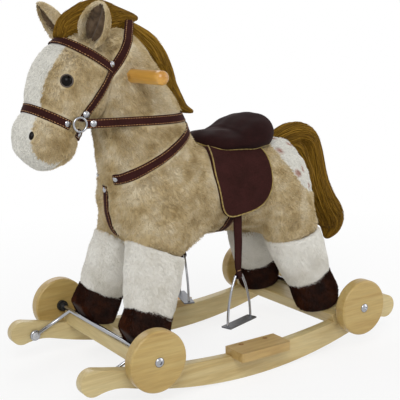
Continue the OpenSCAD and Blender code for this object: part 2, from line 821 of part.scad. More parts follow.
// Straps: bands cut from a skin over the plush
module skin(from = soft_gap, to = soft_gap + strap_t) {
  difference() {
    union() {
      head_form(to);
      neck_form(to);
    }
    head_form(from);
    neck_form(from);
  }
}
module slab(w) translate([-far / 2, -far / 2, -w / 2]) cube([far, far, w]);
module brow_slab(extra = 0)
  at_head() translate([0, 0, brow_z]) intersection() {
    slab(strap_w + extra);
    translate([cheek_x + strap_w / 2 + soft_gap - extra / 2, -far / 2, -far / 2]) cube([far, far, far]);
  }
module brow_room() intersection() {
  brow_slab(3 * soft_gap);
  head_form(strap_t + 3 * soft_gap);
}
module browband() {
  color(suede) placed() skinned() intersection() {
    skin();
    brow_slab();
  }
}
module headstall() {
  color(suede) placed() skinned() intersection() {
    skin();
    at_head()
      translate([cheek_x - strap_w / 2, -far / 2, ring_at[1] + ring_r - 2]) cube([strap_w, far, far]);
  }
}
module noseband() {
  color(suede) placed() skinned() intersection() {
    skin();
    at_head() union() {
      translate([ring_at[0] + ring_r - 2, 0, nose_z]) intersection() {
        slab(strap_w);
        translate([0, -far / 2, -far / 2]) cube([far, far, far]);
      }
      translate([ring_at[0], 0, ring_at[1]]) rotate([0, -chin_tilt, 0]) intersection() {
        slab(strap_w);
        translate([-far - ring_r + 1, -far / 2, -far / 2]) cube([far, far, far]);
      }
    }
  }
}
ring_y = max([for (a = [0 : 30 : 330])
  head_wide(ring_at[0] + (ring_r + 1) * cos(a), ring_at[1] + (ring_r + 1) * sin(a))])
  + strap_t + 3 * soft_gap + ring_wire_d / 2;
ring_x = head_at[0] + ring_at[0] * cos(head_tilt) - ring_at[1] * sin(head_tilt);
ring_z = head_at[1] + ring_at[0] * sin(head_tilt) + ring_at[1] * cos(head_tilt);
neck_side = lookup(rein_z, [for (r = neck_rows) [r[1], r[3]]]);
module reins() {
  color(suede) placed() skinned() {
    intersection() {
      difference() {
        neck_form(soft_gap + strap_t);
        neck_form(soft_gap);
      }
      translate([0, 0, rein_z]) slab(strap_w);
      translate([rein_from_x - far, -far / 2, 0]) cube([far, far, far]);
    }
    difference() {
      both_sides() {
        start = [rein_from_x - 4, neck_side + soft_gap + strap_t / 2, rein_z];
        finish = [ring_x - ring_r - 2, ring_y, rein_z];
        translate(start)
          rotate([0, 0, atan2(finish[1] - start[1], finish[0] - start[0])])
            translate([0, -strap_t / 2, -strap_w / 2])
              cube([norm(finish - start), strap_t, strap_w]);
      }
      neck_form(soft_gap);
      head_form(soft_gap);
    }
  }
}
module breast_slab() translate([breast_at[0], 0, breast_at[1]]) rotate([0, breast_tilt, 0]) slab(strap_w);
module chest_skin() {
  difference() {
    union() {
      torso_form(soft_gap + strap_t);
      neck_form(soft_gap + strap_t);
    }
    torso_form(soft_gap);
    neck_form(soft_gap);
    both_sides() limb("front", soft_gap);
  }
}
module breast_strap() {
  color(suede) placed() skinned() difference() {
    intersection() {
      chest_skin();
      union() {
        breast_slab();
        translate([120, -strap_w / 2, 200]) cube([far, strap_w, breast_at[1] - 200]);
      }
    }
    plush(seat_rows, soft_gap, 24);
    flap_column(soft_gap);
    translate([-far / 2, -far / 2, rein_z - strap_w / 2 - soft_gap]) cube([far, far, far]);
    translate([breast_at[0] - 30, -breast_open / 2, breast_at[1] - strap_w]) cube([far, breast_open, far]);
  }
}
module bit_rings() {
  color(steel) placed() both_sides()
    translate([ring_x, ring_y, ring_z]) rotate([90, 0, 0])
      rotate_extrude() translate([ring_r, 0]) circle(d = ring_wire_d);
}
// Rivets stand on the straps; two more pins carry the stirrup leathers behind the flaps
rivets = [[cheek_x, brow_z + 2], [cheek_x + 1, ring_at[1] + ring_r + 8], [ring_at[0] + ring_r + 7, nose_z]];
module rivet(wide)
  rotate([-90, 0, 0]) translate([0, 0, -2]) cylinder(h = 4.2, r1 = wide, r2 = wide * 0.6, $fn = 16);
module tack_rivets() {
  color(steel) placed() {
    skinned() difference() {
      union() {
        at_head() both_sides() for (r = rivets)
          translate([r[0], head_wide(r[0], r[1]) + strap_t, r[1]]) rivet(4);
      }
      head_form(strap_t + 2 * soft_gap);
      neck_form(strap_t + 2 * soft_gap);
    }
    both_sides()
      translate([leather_at[0], flap_in + soft_gap, leather_at[1]])
        rotate([90, 0, 0]) cylinder(h = leather_t + 2.2, d = 5);
  }
}

// Stirrup leather: hangs from its pin and ends in a loop round the stirrup's top bar
module turned(side) rotate([0, 0, side == "left" ? left_turn : -right_turn]) children();
module leather(side) {
  turn = side == "left" ? left_turn : -right_turn;
  color(suede) placed() on_side(side)
    translate([leather_at[0], leather_y, leather_at[1]]) difference() {
      union() {
        rotate([90, 0, 0]) cylinder(h = leather_t, d = leather_w, center = true);
        translate([-leather_w / 2, -leather_t / 2, -20]) cube([leather_w, leather_t, 20]);
        translate([0, 0, -20]) mirror([0, 0, 1])
          linear_extrude(leather_l - 20 - leather_loop_r / 2, twist = -turn, slices = 14, segments = 4)
            square([leather_w, leather_t], center = true);
        turned(side) translate([0, 0, -leather_l])
          rotate([0, 90, 0]) cylinder(h = 2 * (bar_half - bow_d), r = leather_loop_r, center = true);
      }
      rotate([90, 0, 0]) cylinder(h = leather_t + 2, d = 5 + 2 * fit_gap, center = true);
      turned(side) translate([0, 0, -leather_l])
        rotate([0, 90, 0]) cylinder(h = leather_w + 2, r = wire_d / 2 + fit_gap, center = true);
    }
}
// Stirrup: a straight top bar and two long curves from its ends down to the tread
bow_d = wire_d + 0.4;
bow_half = tread_l * 0.43;
bow_r = (pow(bow_half - bar_half, 2) + pow(stirrup_h, 2)) / (2 * (bow_half - bar_half));
bow_turn = atan2(stirrup_h, bow_r + bar_half - bow_half);
module at_stirrup(side)
  placed() on_side(side)
    translate([leather_at[0], leather_y, leather_at[1] - leather_l]) turned(side) children();
module stirrup(side) {
  color(steel) at_stirrup(side) {
    rotate([0, 90, 0]) cylinder(h = 2 * bar_half, d = wire_d, center = true);
    for (half = [0, 1]) mirror([half, 0, 0])
      translate([bow_half - bow_r, 0, -stirrup_h]) rotate([90, 0, 0])
        rotate_extrude(angle = bow_turn + 0.7, $fn = 128) translate([bow_r, 0]) circle(d = bow_d, $fn = 24);
  }
}
module tread(side) {
  color("#77777c") at_stirrup(side) translate([0, 0, -stirrup_h - tread_t]) linear_extrude(tread_t)
    intersection() {
      square([tread_l, tread_w], center = true);
      circle(d = tread_l * 1.02);
    }
}

rocker("left");  // rocker_left
rocker("right");  // rocker_right
crossbar("front");  // front_crossbar
crossbar("rear");  // rear_crossbar
footrest("left");  // footrest_left
footrest("right");  // footrest_right
crossbar_bolts();
footrest_screws();
pivot_screws();
leg_bolts();
axle("front");  // front_axle
axle("rear");  // rear_axle
bushes("front");  // front_bushes
bushes("rear");  // rear_bushes
axle_screws("front");  // front_axle_screws
axle_screws("rear");  // rear_axle_screws
wheel("front", "left");  // wheel_front_left
wheel("front", "right");  // wheel_front_right
wheel("rear", "left");  // wheel_rear_left
wheel("rear", "right");  // wheel_rear_right
spine_board();
leg_posts();
neck_post();
handle();
torso();
neck();
head();
ear("left");  // ear_left
ear("right");  // ear_right
ear_linings();
eyes();
nostrils();
mane();
forelock();
tail();
stocking("front", "left");  // stocking_front_left
stocking("front", "right");  // stocking_front_right
stocking("rear", "left");  // stocking_rear_left
stocking("rear", "right");  // stocking_rear_right
hoof("front", "left");  // hoof_front_left
hoof("front", "right");  // hoof_front_right
hoof("rear", "left");  // hoof_rear_left
hoof("rear", "right");  // hoof_rear_right
saddle_seat();
saddle_flap("left");  // saddle_flap_left
saddle_flap("right");  // saddle_flap_right
girth();
leather("left");  // leather_left
leather("right");  // leather_right
stirrup("left");  // stirrup_left
stirrup("right");  // stirrup_right
tread("left");  // tread_left
tread("right");  // tread_right
browband();
headstall();
noseband();
reins();
breast_strap();
bit_rings();
tack_rivets();
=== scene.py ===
import bpy
import numpy as np
from mathutils import Matrix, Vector
from mathutils.bvhtree import BVHTree


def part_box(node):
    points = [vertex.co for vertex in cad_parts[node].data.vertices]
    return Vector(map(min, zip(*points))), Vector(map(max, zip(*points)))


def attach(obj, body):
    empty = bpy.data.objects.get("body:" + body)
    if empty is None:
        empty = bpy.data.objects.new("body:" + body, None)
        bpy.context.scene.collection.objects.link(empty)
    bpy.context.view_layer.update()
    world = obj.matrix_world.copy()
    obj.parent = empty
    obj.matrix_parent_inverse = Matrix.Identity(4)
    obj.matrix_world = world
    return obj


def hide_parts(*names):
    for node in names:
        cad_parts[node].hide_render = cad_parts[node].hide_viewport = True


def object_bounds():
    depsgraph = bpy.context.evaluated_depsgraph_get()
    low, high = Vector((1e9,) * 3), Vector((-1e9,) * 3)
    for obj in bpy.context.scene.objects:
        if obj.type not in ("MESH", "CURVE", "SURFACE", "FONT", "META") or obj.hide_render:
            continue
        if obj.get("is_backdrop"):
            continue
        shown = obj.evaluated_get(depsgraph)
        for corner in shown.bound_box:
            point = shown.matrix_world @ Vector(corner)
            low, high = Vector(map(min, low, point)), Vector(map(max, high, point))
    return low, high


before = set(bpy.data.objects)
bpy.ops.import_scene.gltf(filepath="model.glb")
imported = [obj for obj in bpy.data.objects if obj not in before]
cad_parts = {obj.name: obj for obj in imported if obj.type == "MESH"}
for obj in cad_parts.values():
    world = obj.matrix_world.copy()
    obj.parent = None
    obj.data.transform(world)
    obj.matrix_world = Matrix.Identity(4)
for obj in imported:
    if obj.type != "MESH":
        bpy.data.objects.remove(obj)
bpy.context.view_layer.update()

# Camera and studio. The toy stands on a plain white floor in soft daylight from the upper left,
# seen from a little above its left shoulder, as in the photograph.
MM = 0.001
picture_px, sensor_mm = 400, 36
focal_px = 876.87
axis_px = (197.68, 198.33)
camera_at = np.array([841.54, 1280.13, 589.88])
yaw, pitch, roll = np.radians([236.77, -11.22, -1.42])
look = np.array([np.cos(yaw) * np.cos(pitch), np.sin(yaw) * np.cos(pitch), np.sin(pitch)])
level = np.cross(look, [0, 0, 1]) / np.cos(pitch)
above = np.cross(level, look)
right = level * np.cos(roll) + above * np.sin(roll)
top = above * np.cos(roll) - level * np.sin(roll)
scene = bpy.context.scene
scene.view_settings.view_transform = "Standard"
camera = bpy.data.objects.new("camera", bpy.data.cameras.new("camera"))
scene.collection.objects.link(camera)
scene.camera = camera
camera.data.sensor_width = sensor_mm
camera.data.lens = sensor_mm * focal_px / picture_px
camera.data.shift_x = (picture_px / 2 - axis_px[0]) / picture_px
camera.data.shift_y = (axis_px[1] - picture_px / 2) / picture_px
stand = np.column_stack([right, top, -look, camera_at * MM])
camera.matrix_world = Matrix(np.vstack([stand, [0, 0, 0, 1]]).tolist())


def linear(code):
    """An sRGB hex colour as linear red, green, blue and alpha."""
    value = np.array([int(code[i:i + 2], 16) for i in (1, 3, 5)]) / 255
    value = np.where(value <= 0.04045, value / 12.92, ((value + 0.055) / 1.055) ** 2.4)
    return (*value.tolist(), 1.0)


def add(tree, kind, links=None, stops=None, **settings):
    """Adds one node: settings are its properties, links its inputs as values or sockets, and stops the
    colours of a ramp."""
    made = tree.nodes.new("ShaderNode" + kind)
    for key, value in settings.items():
        setattr(made, key, value)
    for key, value in (links or {}).items():
        if isinstance(value, bpy.types.NodeSocket):
            tree.links.new(value, made.inputs[key])
        else:
            made.inputs[key].default_value = value
    for spot, (place, code) in enumerate(stops or []):
        steps = made.color_ramp.elements
        step = steps[spot] if spot < 2 else steps.new(place)
        step.position = place
        step.color = linear(code)
    return made


def studio_lamp(name, at, watts, size):
    """A square soft box of that size in metres that faces the middle of the toy, 0.3 m up."""
    lamp = bpy.data.objects.new(name, bpy.data.lights.new(name, "AREA"))
    lamp.data.energy = watts
    lamp.data.size = size
    back = at - np.array([0, 0, 0.3])
    back /= np.linalg.norm(back)
    across = np.cross([0, 0, 1], back)
    across /= np.linalg.norm(across)
    axes = np.column_stack([across, np.cross(back, across), back])
    lamp.matrix_world = Matrix.Translation(at) @ Matrix(axes.tolist()).to_4x4()
    scene.collection.objects.link(lamp)


def seen_rays(tree):
    """1 for rays from the lens, from a reflection or through a clear piece, and 0 for all others."""
    rays = add(tree, "LightPath").outputs
    seen = add(tree, "Math", {0: rays["Is Camera Ray"], 1: rays["Is Glossy Ray"]}, operation="MAXIMUM")
    seen = add(tree, "Math", {0: seen.outputs[0], 1: rays["Is Transmission Ray"]}, operation="MAXIMUM")
    return seen.outputs[0]


studio_lamp("key_soft_box", (1.3, 1.9, 1.9), 38, 1.5)
studio_lamp("fill_soft_box", (-1.9, 1.3, 1.1), 14, 1.6)
studio_lamp("back_soft_box", (-0.4, -1.9, 1.8), 16, 1.5)
room = bpy.data.worlds.new("white_room")
scene.world = room
room.use_nodes = True
tree = room.node_tree
tree.nodes.clear()
soft = add(tree, "Background", {"Color": (1, 1, 1, 1), "Strength": 0.42})
white = add(tree, "Background", {"Color": (1, 1, 1, 1), "Strength": 1.0})
sky = add(tree, "MixShader", {0: seen_rays(tree), 1: soft.outputs[0], 2: white.outputs[0]})
add(tree, "OutputWorld", {"Surface": sky.outputs[0]})

# Floor: a wide sheet of matt white paper, laid flat under the whole picture for the toy to stand on.
# The lens and the chrome see it lifted towards white, and it keeps the toy's soft shadow.
rocker_low, rocker_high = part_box("rocker_left")
mid_x = (rocker_low[0] + rocker_high[0]) / 2


def skin_object(name, points, face_sets, finish=None):
    """A mesh at the origin from arrays of faces and of points in mm, counted from the middle of the rockers."""
    mesh = bpy.data.meshes.new(name)
    points = np.asarray(points, float) * MM + [mid_x, 0, 0]
    sizes = np.concatenate([np.full(len(f), f.shape[1]) for f in face_sets])
    corners = np.concatenate([f.ravel() for f in face_sets]).astype(np.int32)
    mesh.vertices.add(len(points))
    mesh.vertices.foreach_set("co", points.astype(np.float32).ravel())
    mesh.loops.add(len(corners))
    mesh.loops.foreach_set("vertex_index", corners)
    mesh.polygons.add(len(sizes))
    mesh.polygons.foreach_set("loop_start", (np.cumsum(sizes) - sizes).astype(np.int32))
    mesh.polygons.foreach_set("use_smooth", np.ones(len(sizes), bool))
    if finish:
        mesh.materials.append(finish)
    mesh.update(calc_edges=True)
    made = bpy.data.objects.new(name, mesh)
    scene.collection.objects.link(made)
    return made


def blank(name, **sockets):
    """A new material with one Principled shader, whose own sockets take the values given. Returns it, its
    nodes and its shader."""
    made = bpy.data.materials.new(name)
    made.use_nodes = True
    tree = made.node_tree
    shader = tree.nodes["Principled BSDF"]
    for key, value in sockets.items():
        shader.inputs[key.replace("_", " ")].default_value = value
    return made, tree, shader


# Matt paper: one even white without any gloss.
paper, tree, shader = blank("white_paper", Base_Color=linear("#f4f4f4"), Roughness=1.0)
glow = add(tree, "Emission", {"Color": (1, 1, 1, 1), "Strength": 1.0})
place = add(tree, "TexCoord").outputs["Object"]
away = add(tree, "VectorMath", {0: place}, operation="LENGTH").outputs["Value"]
fade = add(tree, "MapRange", {"Value": away, "From Min": 0.35, "From Max": 1.3,
                              "To Min": 0.8, "To Max": 1.0}).outputs[0]
lift = add(tree, "Math", {0: seen_rays(tree), 1: fade}, operation="MULTIPLY")
both = add(tree, "MixShader", {0: lift.outputs[0], 1: shader.outputs[0], 2: glow.outputs[0]})
tree.links.new(both.outputs[0], tree.nodes["Material Output"].inputs["Surface"])
reach = 40000.0
corners = np.array([[-reach, -reach, 0], [reach, -reach, 0], [reach, reach, 0], [-reach, reach, 0]])
floor = skin_object("floor", corners, [np.array([[0, 1, 2, 3]])], paper)
floor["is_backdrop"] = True


# Wooden base: two rockers sawn from pine board, two crossbars let into their top edges and two footrests.
# The boards are planed, eased at the edges and sealed with a thin satin lacquer.
def pine_finish(name, light, middle, dark, along, gloss):
    """Sealed pine: bands of growth rings about 18 mm wide with finer ones in them, drawn out along the board,
    pores, and a small knot here and there."""
    made, tree, shader = blank(name, Roughness=gloss, Coat_Weight=0.12, Coat_Roughness=0.25, IOR=1.5)
    place = add(tree, "TexCoord").outputs["Object"]
    across, lengthways, knots = 1 / (18.18 * MM), 1 / (250 * MM), 1 / (76.92 * MM)
    stretch = {"X": (lengthways, across, across), "Y": (across, lengthways, across)}[along]
    board = add(tree, "Mapping", {"Vector": place, "Scale": stretch}).outputs[0]
    rings = add(tree, "TexNoise", {"Vector": board, "Scale": 1.0, "Detail": 3.0, "Roughness": 0.55,
                                   "Distortion": 0.7})
    colour = add(tree, "ValToRGB", {"Fac": rings.outputs["Fac"]},
                 stops=[(0.30, dark), (0.72, light), (0.48, middle)]).outputs["Color"]
    # The pores are seven times finer than the rings. Real ones are finer still: these are drawn to show.
    fine = add(tree, "Mapping", {"Vector": place, "Scale": tuple(7 * s for s in stretch)}).outputs[0]
    pores = add(tree, "TexNoise", {"Vector": fine, "Scale": 1.0, "Detail": 2.0})
    shade = add(tree, "MapRange", {"Value": pores.outputs["Fac"], "From Min": 0.35, "From Max": 0.7,
                                   "To Min": 0.9, "To Max": 1.04}).outputs[0]
    cells = add(tree, "TexVoronoi", {"Vector": place, "Scale": knots, "Randomness": 1.0})
    knot = add(tree, "MapRange", {"Value": cells.outputs["Distance"], "From Min": 0.03, "From Max": 0.085,
                                  "To Min": 0.55, "To Max": 0.0}).outputs[0]
    worn = add(tree, "Mix", {0: 1.0, 6: colour, 7: shade}, data_type="RGBA", blend_type="MULTIPLY").outputs[2]
    knotted = add(tree, "Mix", {0: knot, 6: worn, 7: linear("#7a5226")}, data_type="RGBA").outputs[2]
    tree.links.new(knotted, shader.inputs["Base Color"])
    rough = add(tree, "Bump", {"Height": pores.outputs["Fac"], "Strength": 0.12, "Distance": 0.4 * MM})
    tree.links.new(rough.outputs[0], shader.inputs["Normal"])
    return made


pine_along = pine_finish("sealed_pine_along", "#d2c18f", "#c9b480", "#baa168", "X", 0.42)
pine_across = pine_finish("sealed_pine_across", "#d2c08c", "#c8b27d", "#b89e65", "Y", 0.42)
pine_steps = pine_finish("sealed_pine_steps", "#c5a970", "#b8995e", "#a5854c", "X", 0.45)


def dressed(names, finish, ease=0.0):
    """Gives CAD nodes a finish, joins their loose triangles and eases their edges by a small radius in mm."""
    for name in names:
        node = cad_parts[name]
        node.data.materials.clear()
        node.data.materials.append(finish)
        weld = node.modifiers.new("weld", "WELD")
        weld.merge_threshold = 0.01 * MM
        if ease:
            round_over = node.modifiers.new("eased_edges", "BEVEL")
            round_over.width = ease * MM
            round_over.segments = 2
            round_over.limit_method = "ANGLE"
            round_over.angle_limit = np.radians(40)
            round_over.harden_normals = False


dressed(["rocker_left", "rocker_right"], pine_along, 1.6)
dressed(["front_crossbar", "rear_crossbar"], pine_across, 1.2)
dressed(["footrest_left", "footrest_right"], pine_steps, 1.6)

# Inner frame: a spine board, four leg posts and a neck post of raw sawn pine, inside the stuffing.
# It carries the rider, and its posts are bolted to the crossbars.
raw_pine = pine_finish("raw_pine_frame", "#d9c896", "#cdb885", "#b69c65", "X", 0.7)
dressed(["spine_board", "leg_posts", "neck_post"], raw_pine, 0.8)


# Fasteners: zinc plated bolts and shoulder screws in the base, and yellow plated screws in the footrests.
# They are bought steel parts, turned into the pine.
def metal_finish(name, colour, rough, grain_mm, depth_mm):
    """Plated or polished steel: one even colour with faint drawing marks that break up the reflections."""
    made, tree, shader = blank(name, Metallic=1.0, Base_Color=linear(colour), Roughness=rough)
    place = add(tree, "TexCoord").outputs["Object"]
    marks = add(tree, "TexNoise", {"Vector": place, "Scale": 1 / (grain_mm * MM), "Detail": 2.0})
    relief = add(tree, "Bump", {"Height": marks.outputs["Fac"], "Strength": 0.25, "Distance": depth_mm * MM})
    tree.links.new(relief.outputs[0], shader.inputs["Normal"])
    uneven = add(tree, "MapRange", {"Value": marks.outputs["Fac"], "From Min": 0.3, "From Max": 0.7,
                                    "To Min": rough * 0.75, "To Max": rough * 1.3})
    tree.links.new(uneven.outputs[0], shader.inputs["Roughness"])
    return made


zinc = metal_finish("zinc_plated_steel", "#b9babd", 0.32, 3.0, 0.05)
yellow_zinc = metal_finish("yellow_zinc_steel", "#a87a42", 0.42, 3.0, 0.05)
dressed(["crossbar_bolts", "leg_bolts", "pivot_screws"], zinc)
dressed(["footrest_screws"], yellow_zinc)

# Axles: chromed 8 mm steel rods, each with two welded arms, and domed screws in their ends.
# Black moulded bushes sit on them between rocker and wheel.
chrome = metal_finish("chromed_steel_rod", "#a3a4a8", 0.14, 6.0, 0.03)
dressed(["front_axle", "rear_axle", "front_axle_screws", "rear_axle_screws"], chrome)
# Moulded nylon: a dull black with the fine grit of the mould.
black_nylon, tree, shader = blank("black_nylon_moulding", Base_Color=linear("#1b1b1c"), Roughness=0.45)
grit = add(tree, "TexNoise", {"Vector": add(tree, "TexCoord").outputs["Object"], "Scale": 1 / (1.2 * MM)})
texture = add(tree, "Bump", {"Height": grit.outputs["Fac"], "Strength": 0.2, "Distance": 0.1 * MM})
tree.links.new(texture.outputs[0], shader.inputs["Normal"])
dressed(["front_bushes", "rear_bushes"], black_nylon)

# Wheels: discs turned from pine, a little warmer than the rockers, with the grain straight across the face.
# Each turns freely on its rod and has the same thin lacquer as the base.
wheel_pine = pine_finish("turned_pine_wheel", "#bfa568", "#b6995a", "#aa8a4c", "X", 0.4)
dressed(["wheel_front_left", "wheel_front_right", "wheel_rear_left", "wheel_rear_right"], wheel_pine)

# Handle: a beech dowel through the neck, whose two ends are the hand grips.
# Its orange varnish is thicker than the lacquer of the base, so it is glossier.
beech = pine_finish("varnished_beech", "#d9a54a", "#cc9640", "#ba8230", "Y", 0.28)
dressed(["handle"], beech)

# Stirrups, bit rings and rivets: bows and rings bent from chromed wire, and chromed rivets and pins.
# The treads of the stirrups are cut from brushed sheet steel.
brushed = metal_finish("brushed_steel_sheet", "#6f7074", 0.38, 1.6, 0.12)
dressed(["stirrup_left", "stirrup_right", "bit_rings", "tack_rivets"], chrome)
dressed(["tread_left", "tread_right"], brushed, 0.5)


# Plush body: one sewn skin of short-pile plush, stuffed with fibre round the inner frame.
# Trunk, neck and upper legs are cut as panels and sewn into each other, so their joins are soft hollows.
def spline_at(rows, t):
    """A Catmull-Rom spline through rows at the places t (0 is the first row), with round ends where radii
    are zero."""
    rows = np.array(rows, float)
    fold = np.array([1, 1, -1, -1])
    longer = np.vstack([rows[1] * fold, rows, rows[-2] * fold])
    i = np.clip(t.astype(int), 0, len(rows) - 2)
    f = (t - i)[..., None]
    a, b, c, d = (longer[i + k] for k in range(4))
    return 0.5 * (2 * b + (c - a) * f + (2 * a - 5 * b + 4 * c - d) * f ** 2 + (3 * b - a - 3 * c + d) * f ** 3)


def on_form(rows, t, angle, out=1.0):
    """Points of a swept form: ellipses square to a path in the middle plane, at place t, angle round it and
    radius out."""
    line = spline_at(rows, t)
    way = spline_at(rows, np.minimum(t + 0.02, len(rows) - 1)) - spline_at(rows, np.maximum(t - 0.02, 0))
    way = way[..., :2] / np.maximum(np.linalg.norm(way[..., :2], axis=-1, keepdims=True), 1e-9)
    up = out * line[..., 2] * np.cos(angle)
    across = out * line[..., 3] * np.sin(angle)
    return np.stack([line[..., 0] - way[..., 1] * up, across, line[..., 1] + way[..., 0] * up], -1)


def tube(rings, ends=None, loop=False):
    """A skin over a row of closed rings: quads between neighbours, and a fan over each end unless the row
    closes on itself."""
    count, sides, _ = rings.shape
    points = rings.reshape(-1, 3)
    k = np.arange(sides)
    row = np.arange(count if loop else count - 1)[:, None]
    ahead = (row + 1) % count
    after = (k + 1) % sides
    faces = [np.stack(np.broadcast_arrays(row * sides + k, row * sides + after, ahead * sides + after,
                                          ahead * sides + k), -1).reshape(-1, 4)]
    if not loop:
        ends = rings[[0, -1]].mean(1) if ends is None else ends
        points = np.vstack([points, ends])
        last = (count - 1) * sides
        faces.append(np.vstack([np.stack([0 * k + count * sides, after, k], -1),
                                np.stack([0 * k + count * sides + 1, last + k, last + after], -1)]))
    corner = points[faces[0]]
    space = np.einsum("ij,ij->", corner[:, 0], np.cross(corner[:, 1], corner[:, 2]))
    space += np.einsum("ij,ij->", corner[:, 0], np.cross(corner[:, 2], corner[:, 3]))
    return points, faces if space > 0 else [f[:, ::-1] for f in faces]


def swept(rows, steps, sides):
    """A whole swept form as a closed skin with a pole at each end."""
    t = np.linspace(0, len(rows) - 1, steps)
    angle = np.linspace(0, 2 * np.pi, sides, endpoint=False)
    rings = on_form(rows, t[1:-1, None] + 0 * angle, 0 * t[1:-1, None] + angle)
    return tube(rings, spline_at(rows, t[[0, -1]])[:, [0, 2, 1]] * [1, 0, 1])


def stacked(skins):
    """Several skins as one set of points, with each one's faces counted on from those before it."""
    shift = np.cumsum([0] + [len(p) for p, _ in skins])
    return np.vstack([p for p, _ in skins]), [f + s for (_, faces), s in zip(skins, shift) for f in faces]


def melted(skins, cube, rounds):
    """One skin round several closed ones: remeshed in cubes of that size in mm, then smoothed so that joins
    become hollows."""
    work = skin_object("work", *stacked(skins))
    remesh = work.modifiers.new("melt", "REMESH")
    remesh.mode = "VOXEL"
    remesh.voxel_size = cube * MM
    ease = work.modifiers.new("ease", "SMOOTH")
    ease.factor = 0.5
    ease.iterations = rounds
    done = work.evaluated_get(bpy.context.evaluated_depsgraph_get()).to_mesh()
    points = np.empty(len(done.vertices) * 3, np.float32)
    done.vertices.foreach_get("co", points)
    corners = np.empty(len(done.loops), np.int32)
    done.loops.foreach_get("vertex_index", corners)
    bpy.data.objects.remove(work)
    return (points.reshape(-1, 3) - [mid_x, 0, 0]) / MM, [corners.reshape(-1, 4)]


def facing(points, face_sets):
    """Unit normals of a skin's points, from the faces round each, and its triangles."""
    triangles = np.vstack([f[:, [0, i, i + 1]] for f in face_sets for i in range(1, f.shape[1] - 1)])
    a, b, c = (points[triangles[:, i]] for i in range(3))
    flat = np.cross(b - a, c - a)
    normals = np.zeros_like(points)
    for i in range(3):
        np.add.at(normals, triangles[:, i], flat)
    return normals / np.maximum(np.linalg.norm(normals, axis=1, keepdims=True), 1e-9), triangles


def lumps(points, size, seed):
    """Soft unevenness from about -1 to 1: the sum of 14 sine waves of about that wavelength in random
    directions."""
    rng = np.random.default_rng(seed)
    waves = rng.normal(size=(14, 3))
    lengths = np.linalg.norm(waves, axis=1, keepdims=True)
    waves *= (2 * np.pi / size) * rng.uniform(0.6, 1.3, (14, 1)) / lengths
    return np.sin(points @ waves.T + rng.uniform(0, 6.3, 14)).sum(1) / 4.2


def plush_finish(name, light, middle, dark, patch="#e2e0d8", spot="#a5705e", mottle_mm=46, sheen=0.2,
                 tones=(0.86, 1.12), painted_root_shade=(0.78, 1.08)):
    """Short-pile plush: brushed darker and lighter in patches, each tuft a little off in tone. Each tuft is
    darker towards
    its root and paler at its tip: painted shade deep in the pile and painted light on the tips."""
    made, tree, shader = blank(name, Roughness=0.95, Sheen_Weight=sheen, Sheen_Roughness=0.45,
                               Specular_IOR_Level=0.12)
    place = add(tree, "TexCoord").outputs["Object"]
    brushed_by = add(tree, "TexNoise", {"Vector": place, "Scale": 1 / (mottle_mm * MM), "Detail": 3.0,
                                        "Roughness": 0.6})
    coat = add(tree, "ValToRGB", {"Fac": brushed_by.outputs["Fac"]},
               stops=[(0.32, dark), (0.66, light), (0.48, middle)]).outputs["Color"]
    marks = {key: add(tree, "Attribute", attribute_name=key).outputs["Fac"]
             for key in ("patch", "spot", "tone", "tip")}
    coat = add(tree, "Mix", {0: marks["patch"], 6: coat, 7: linear(patch)}, data_type="RGBA").outputs[2]
    coat = add(tree, "Mix", {0: marks["spot"], 6: coat, 7: linear(spot)}, data_type="RGBA").outputs[2]
    tone = add(tree, "MapRange", {"Value": marks["tone"], "To Min": tones[0], "To Max": tones[1]}).outputs[0]
    # Painted shade and light: the tip mark makes each tuft darker at its root and paler at its tip, and the
    # skin under the pile darker still.
    root = add(tree, "MapRange", {"Value": marks["tip"], "To Min": painted_root_shade[0], "To Max": painted_root_shade[1]}).outputs[0]
    tone_and_painted_shade = add(tree, "Math", {0: tone, 1: root}, operation="MULTIPLY").outputs[0]
    coat = add(tree, "Mix", {0: 1.0, 6: coat, 7: tone_and_painted_shade}, data_type="RGBA",
               blend_type="MULTIPLY").outputs[2]
    tree.links.new(coat, shader.inputs["Base Color"])
    return made


def mark(made, **values):
    """Stores one number a point under each name, for the finish to read."""
    for key, value in values.items():
        layer = made.data.attributes.new(key, "FLOAT", "POINT")
        value = np.broadcast_to(value, len(made.data.vertices))
        layer.data.foreach_set("value", np.asarray(value, np.float32))


def sewn(name, points, face_sets, finish, nodes, fill, patch=None, spot=None, slot="tan_plush"):
    """The skin of a stuffed piece: it rides on the horse and stands for the solids named."""
    made = skin_object(name, points, face_sets, finish)
    # The skin is marked near the root, so that its finish paints it darker: painted shade under the pile.
    mark(made, tip=0.25, tone=0.5, patch=patch(points) if patch else 0, spot=spot(points) if spot else 0)
    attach(made, "horse")
    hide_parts(*nodes)


def dome(x):
    """Height of a half circle at x, from -1 to 1: the root of 1 less the square of x, and 0 past its ends."""
    return np.sqrt(np.maximum(1 - x ** 2, 0))


# Each row of a form: x and z of a place on its path, then the half height and half width there.
torso_rows = [
    [-217, 285, 0, 0], [-211, 286, 34, 37], [-194, 282, 63, 66], [-152, 290, 89, 82], [-119, 300, 86, 94],
    [-60, 305, 82, 93], [10, 306, 80, 91], [80, 309, 86, 93], [130, 313, 88, 91], [165, 316, 76, 78],
    [186, 318, 50, 52], [193, 319, 0, 0]]
neck_rows = [
    [98, 285, 0, 0], [99, 290, 55, 50], [105, 315, 80, 72], [112, 345, 87, 78], [119, 382, 84, 74],
    [130, 422, 79, 67], [145, 462, 71, 60], [160, 502, 63, 55], [174, 537, 54, 50], [183, 563, 42, 42],
    [189, 582, 22, 24], [191, 588, 0, 0]]
# The left legs' hip, stocking seam and fetlock, and the radius at each.
leg_points = {"front": np.array([[114, 36, 292], [140, 58, 226], [171, 84, 128]], float),
              "rear": np.array([[-128, 40, 292], [-152, 61, 210], [-173, 82, 128]], float)}
hip_r, stocking_r, fetlock_r = 60, 49, 39
flip = {"left": np.array([1, 1, 1]), "right": np.array([1, -1, 1])}


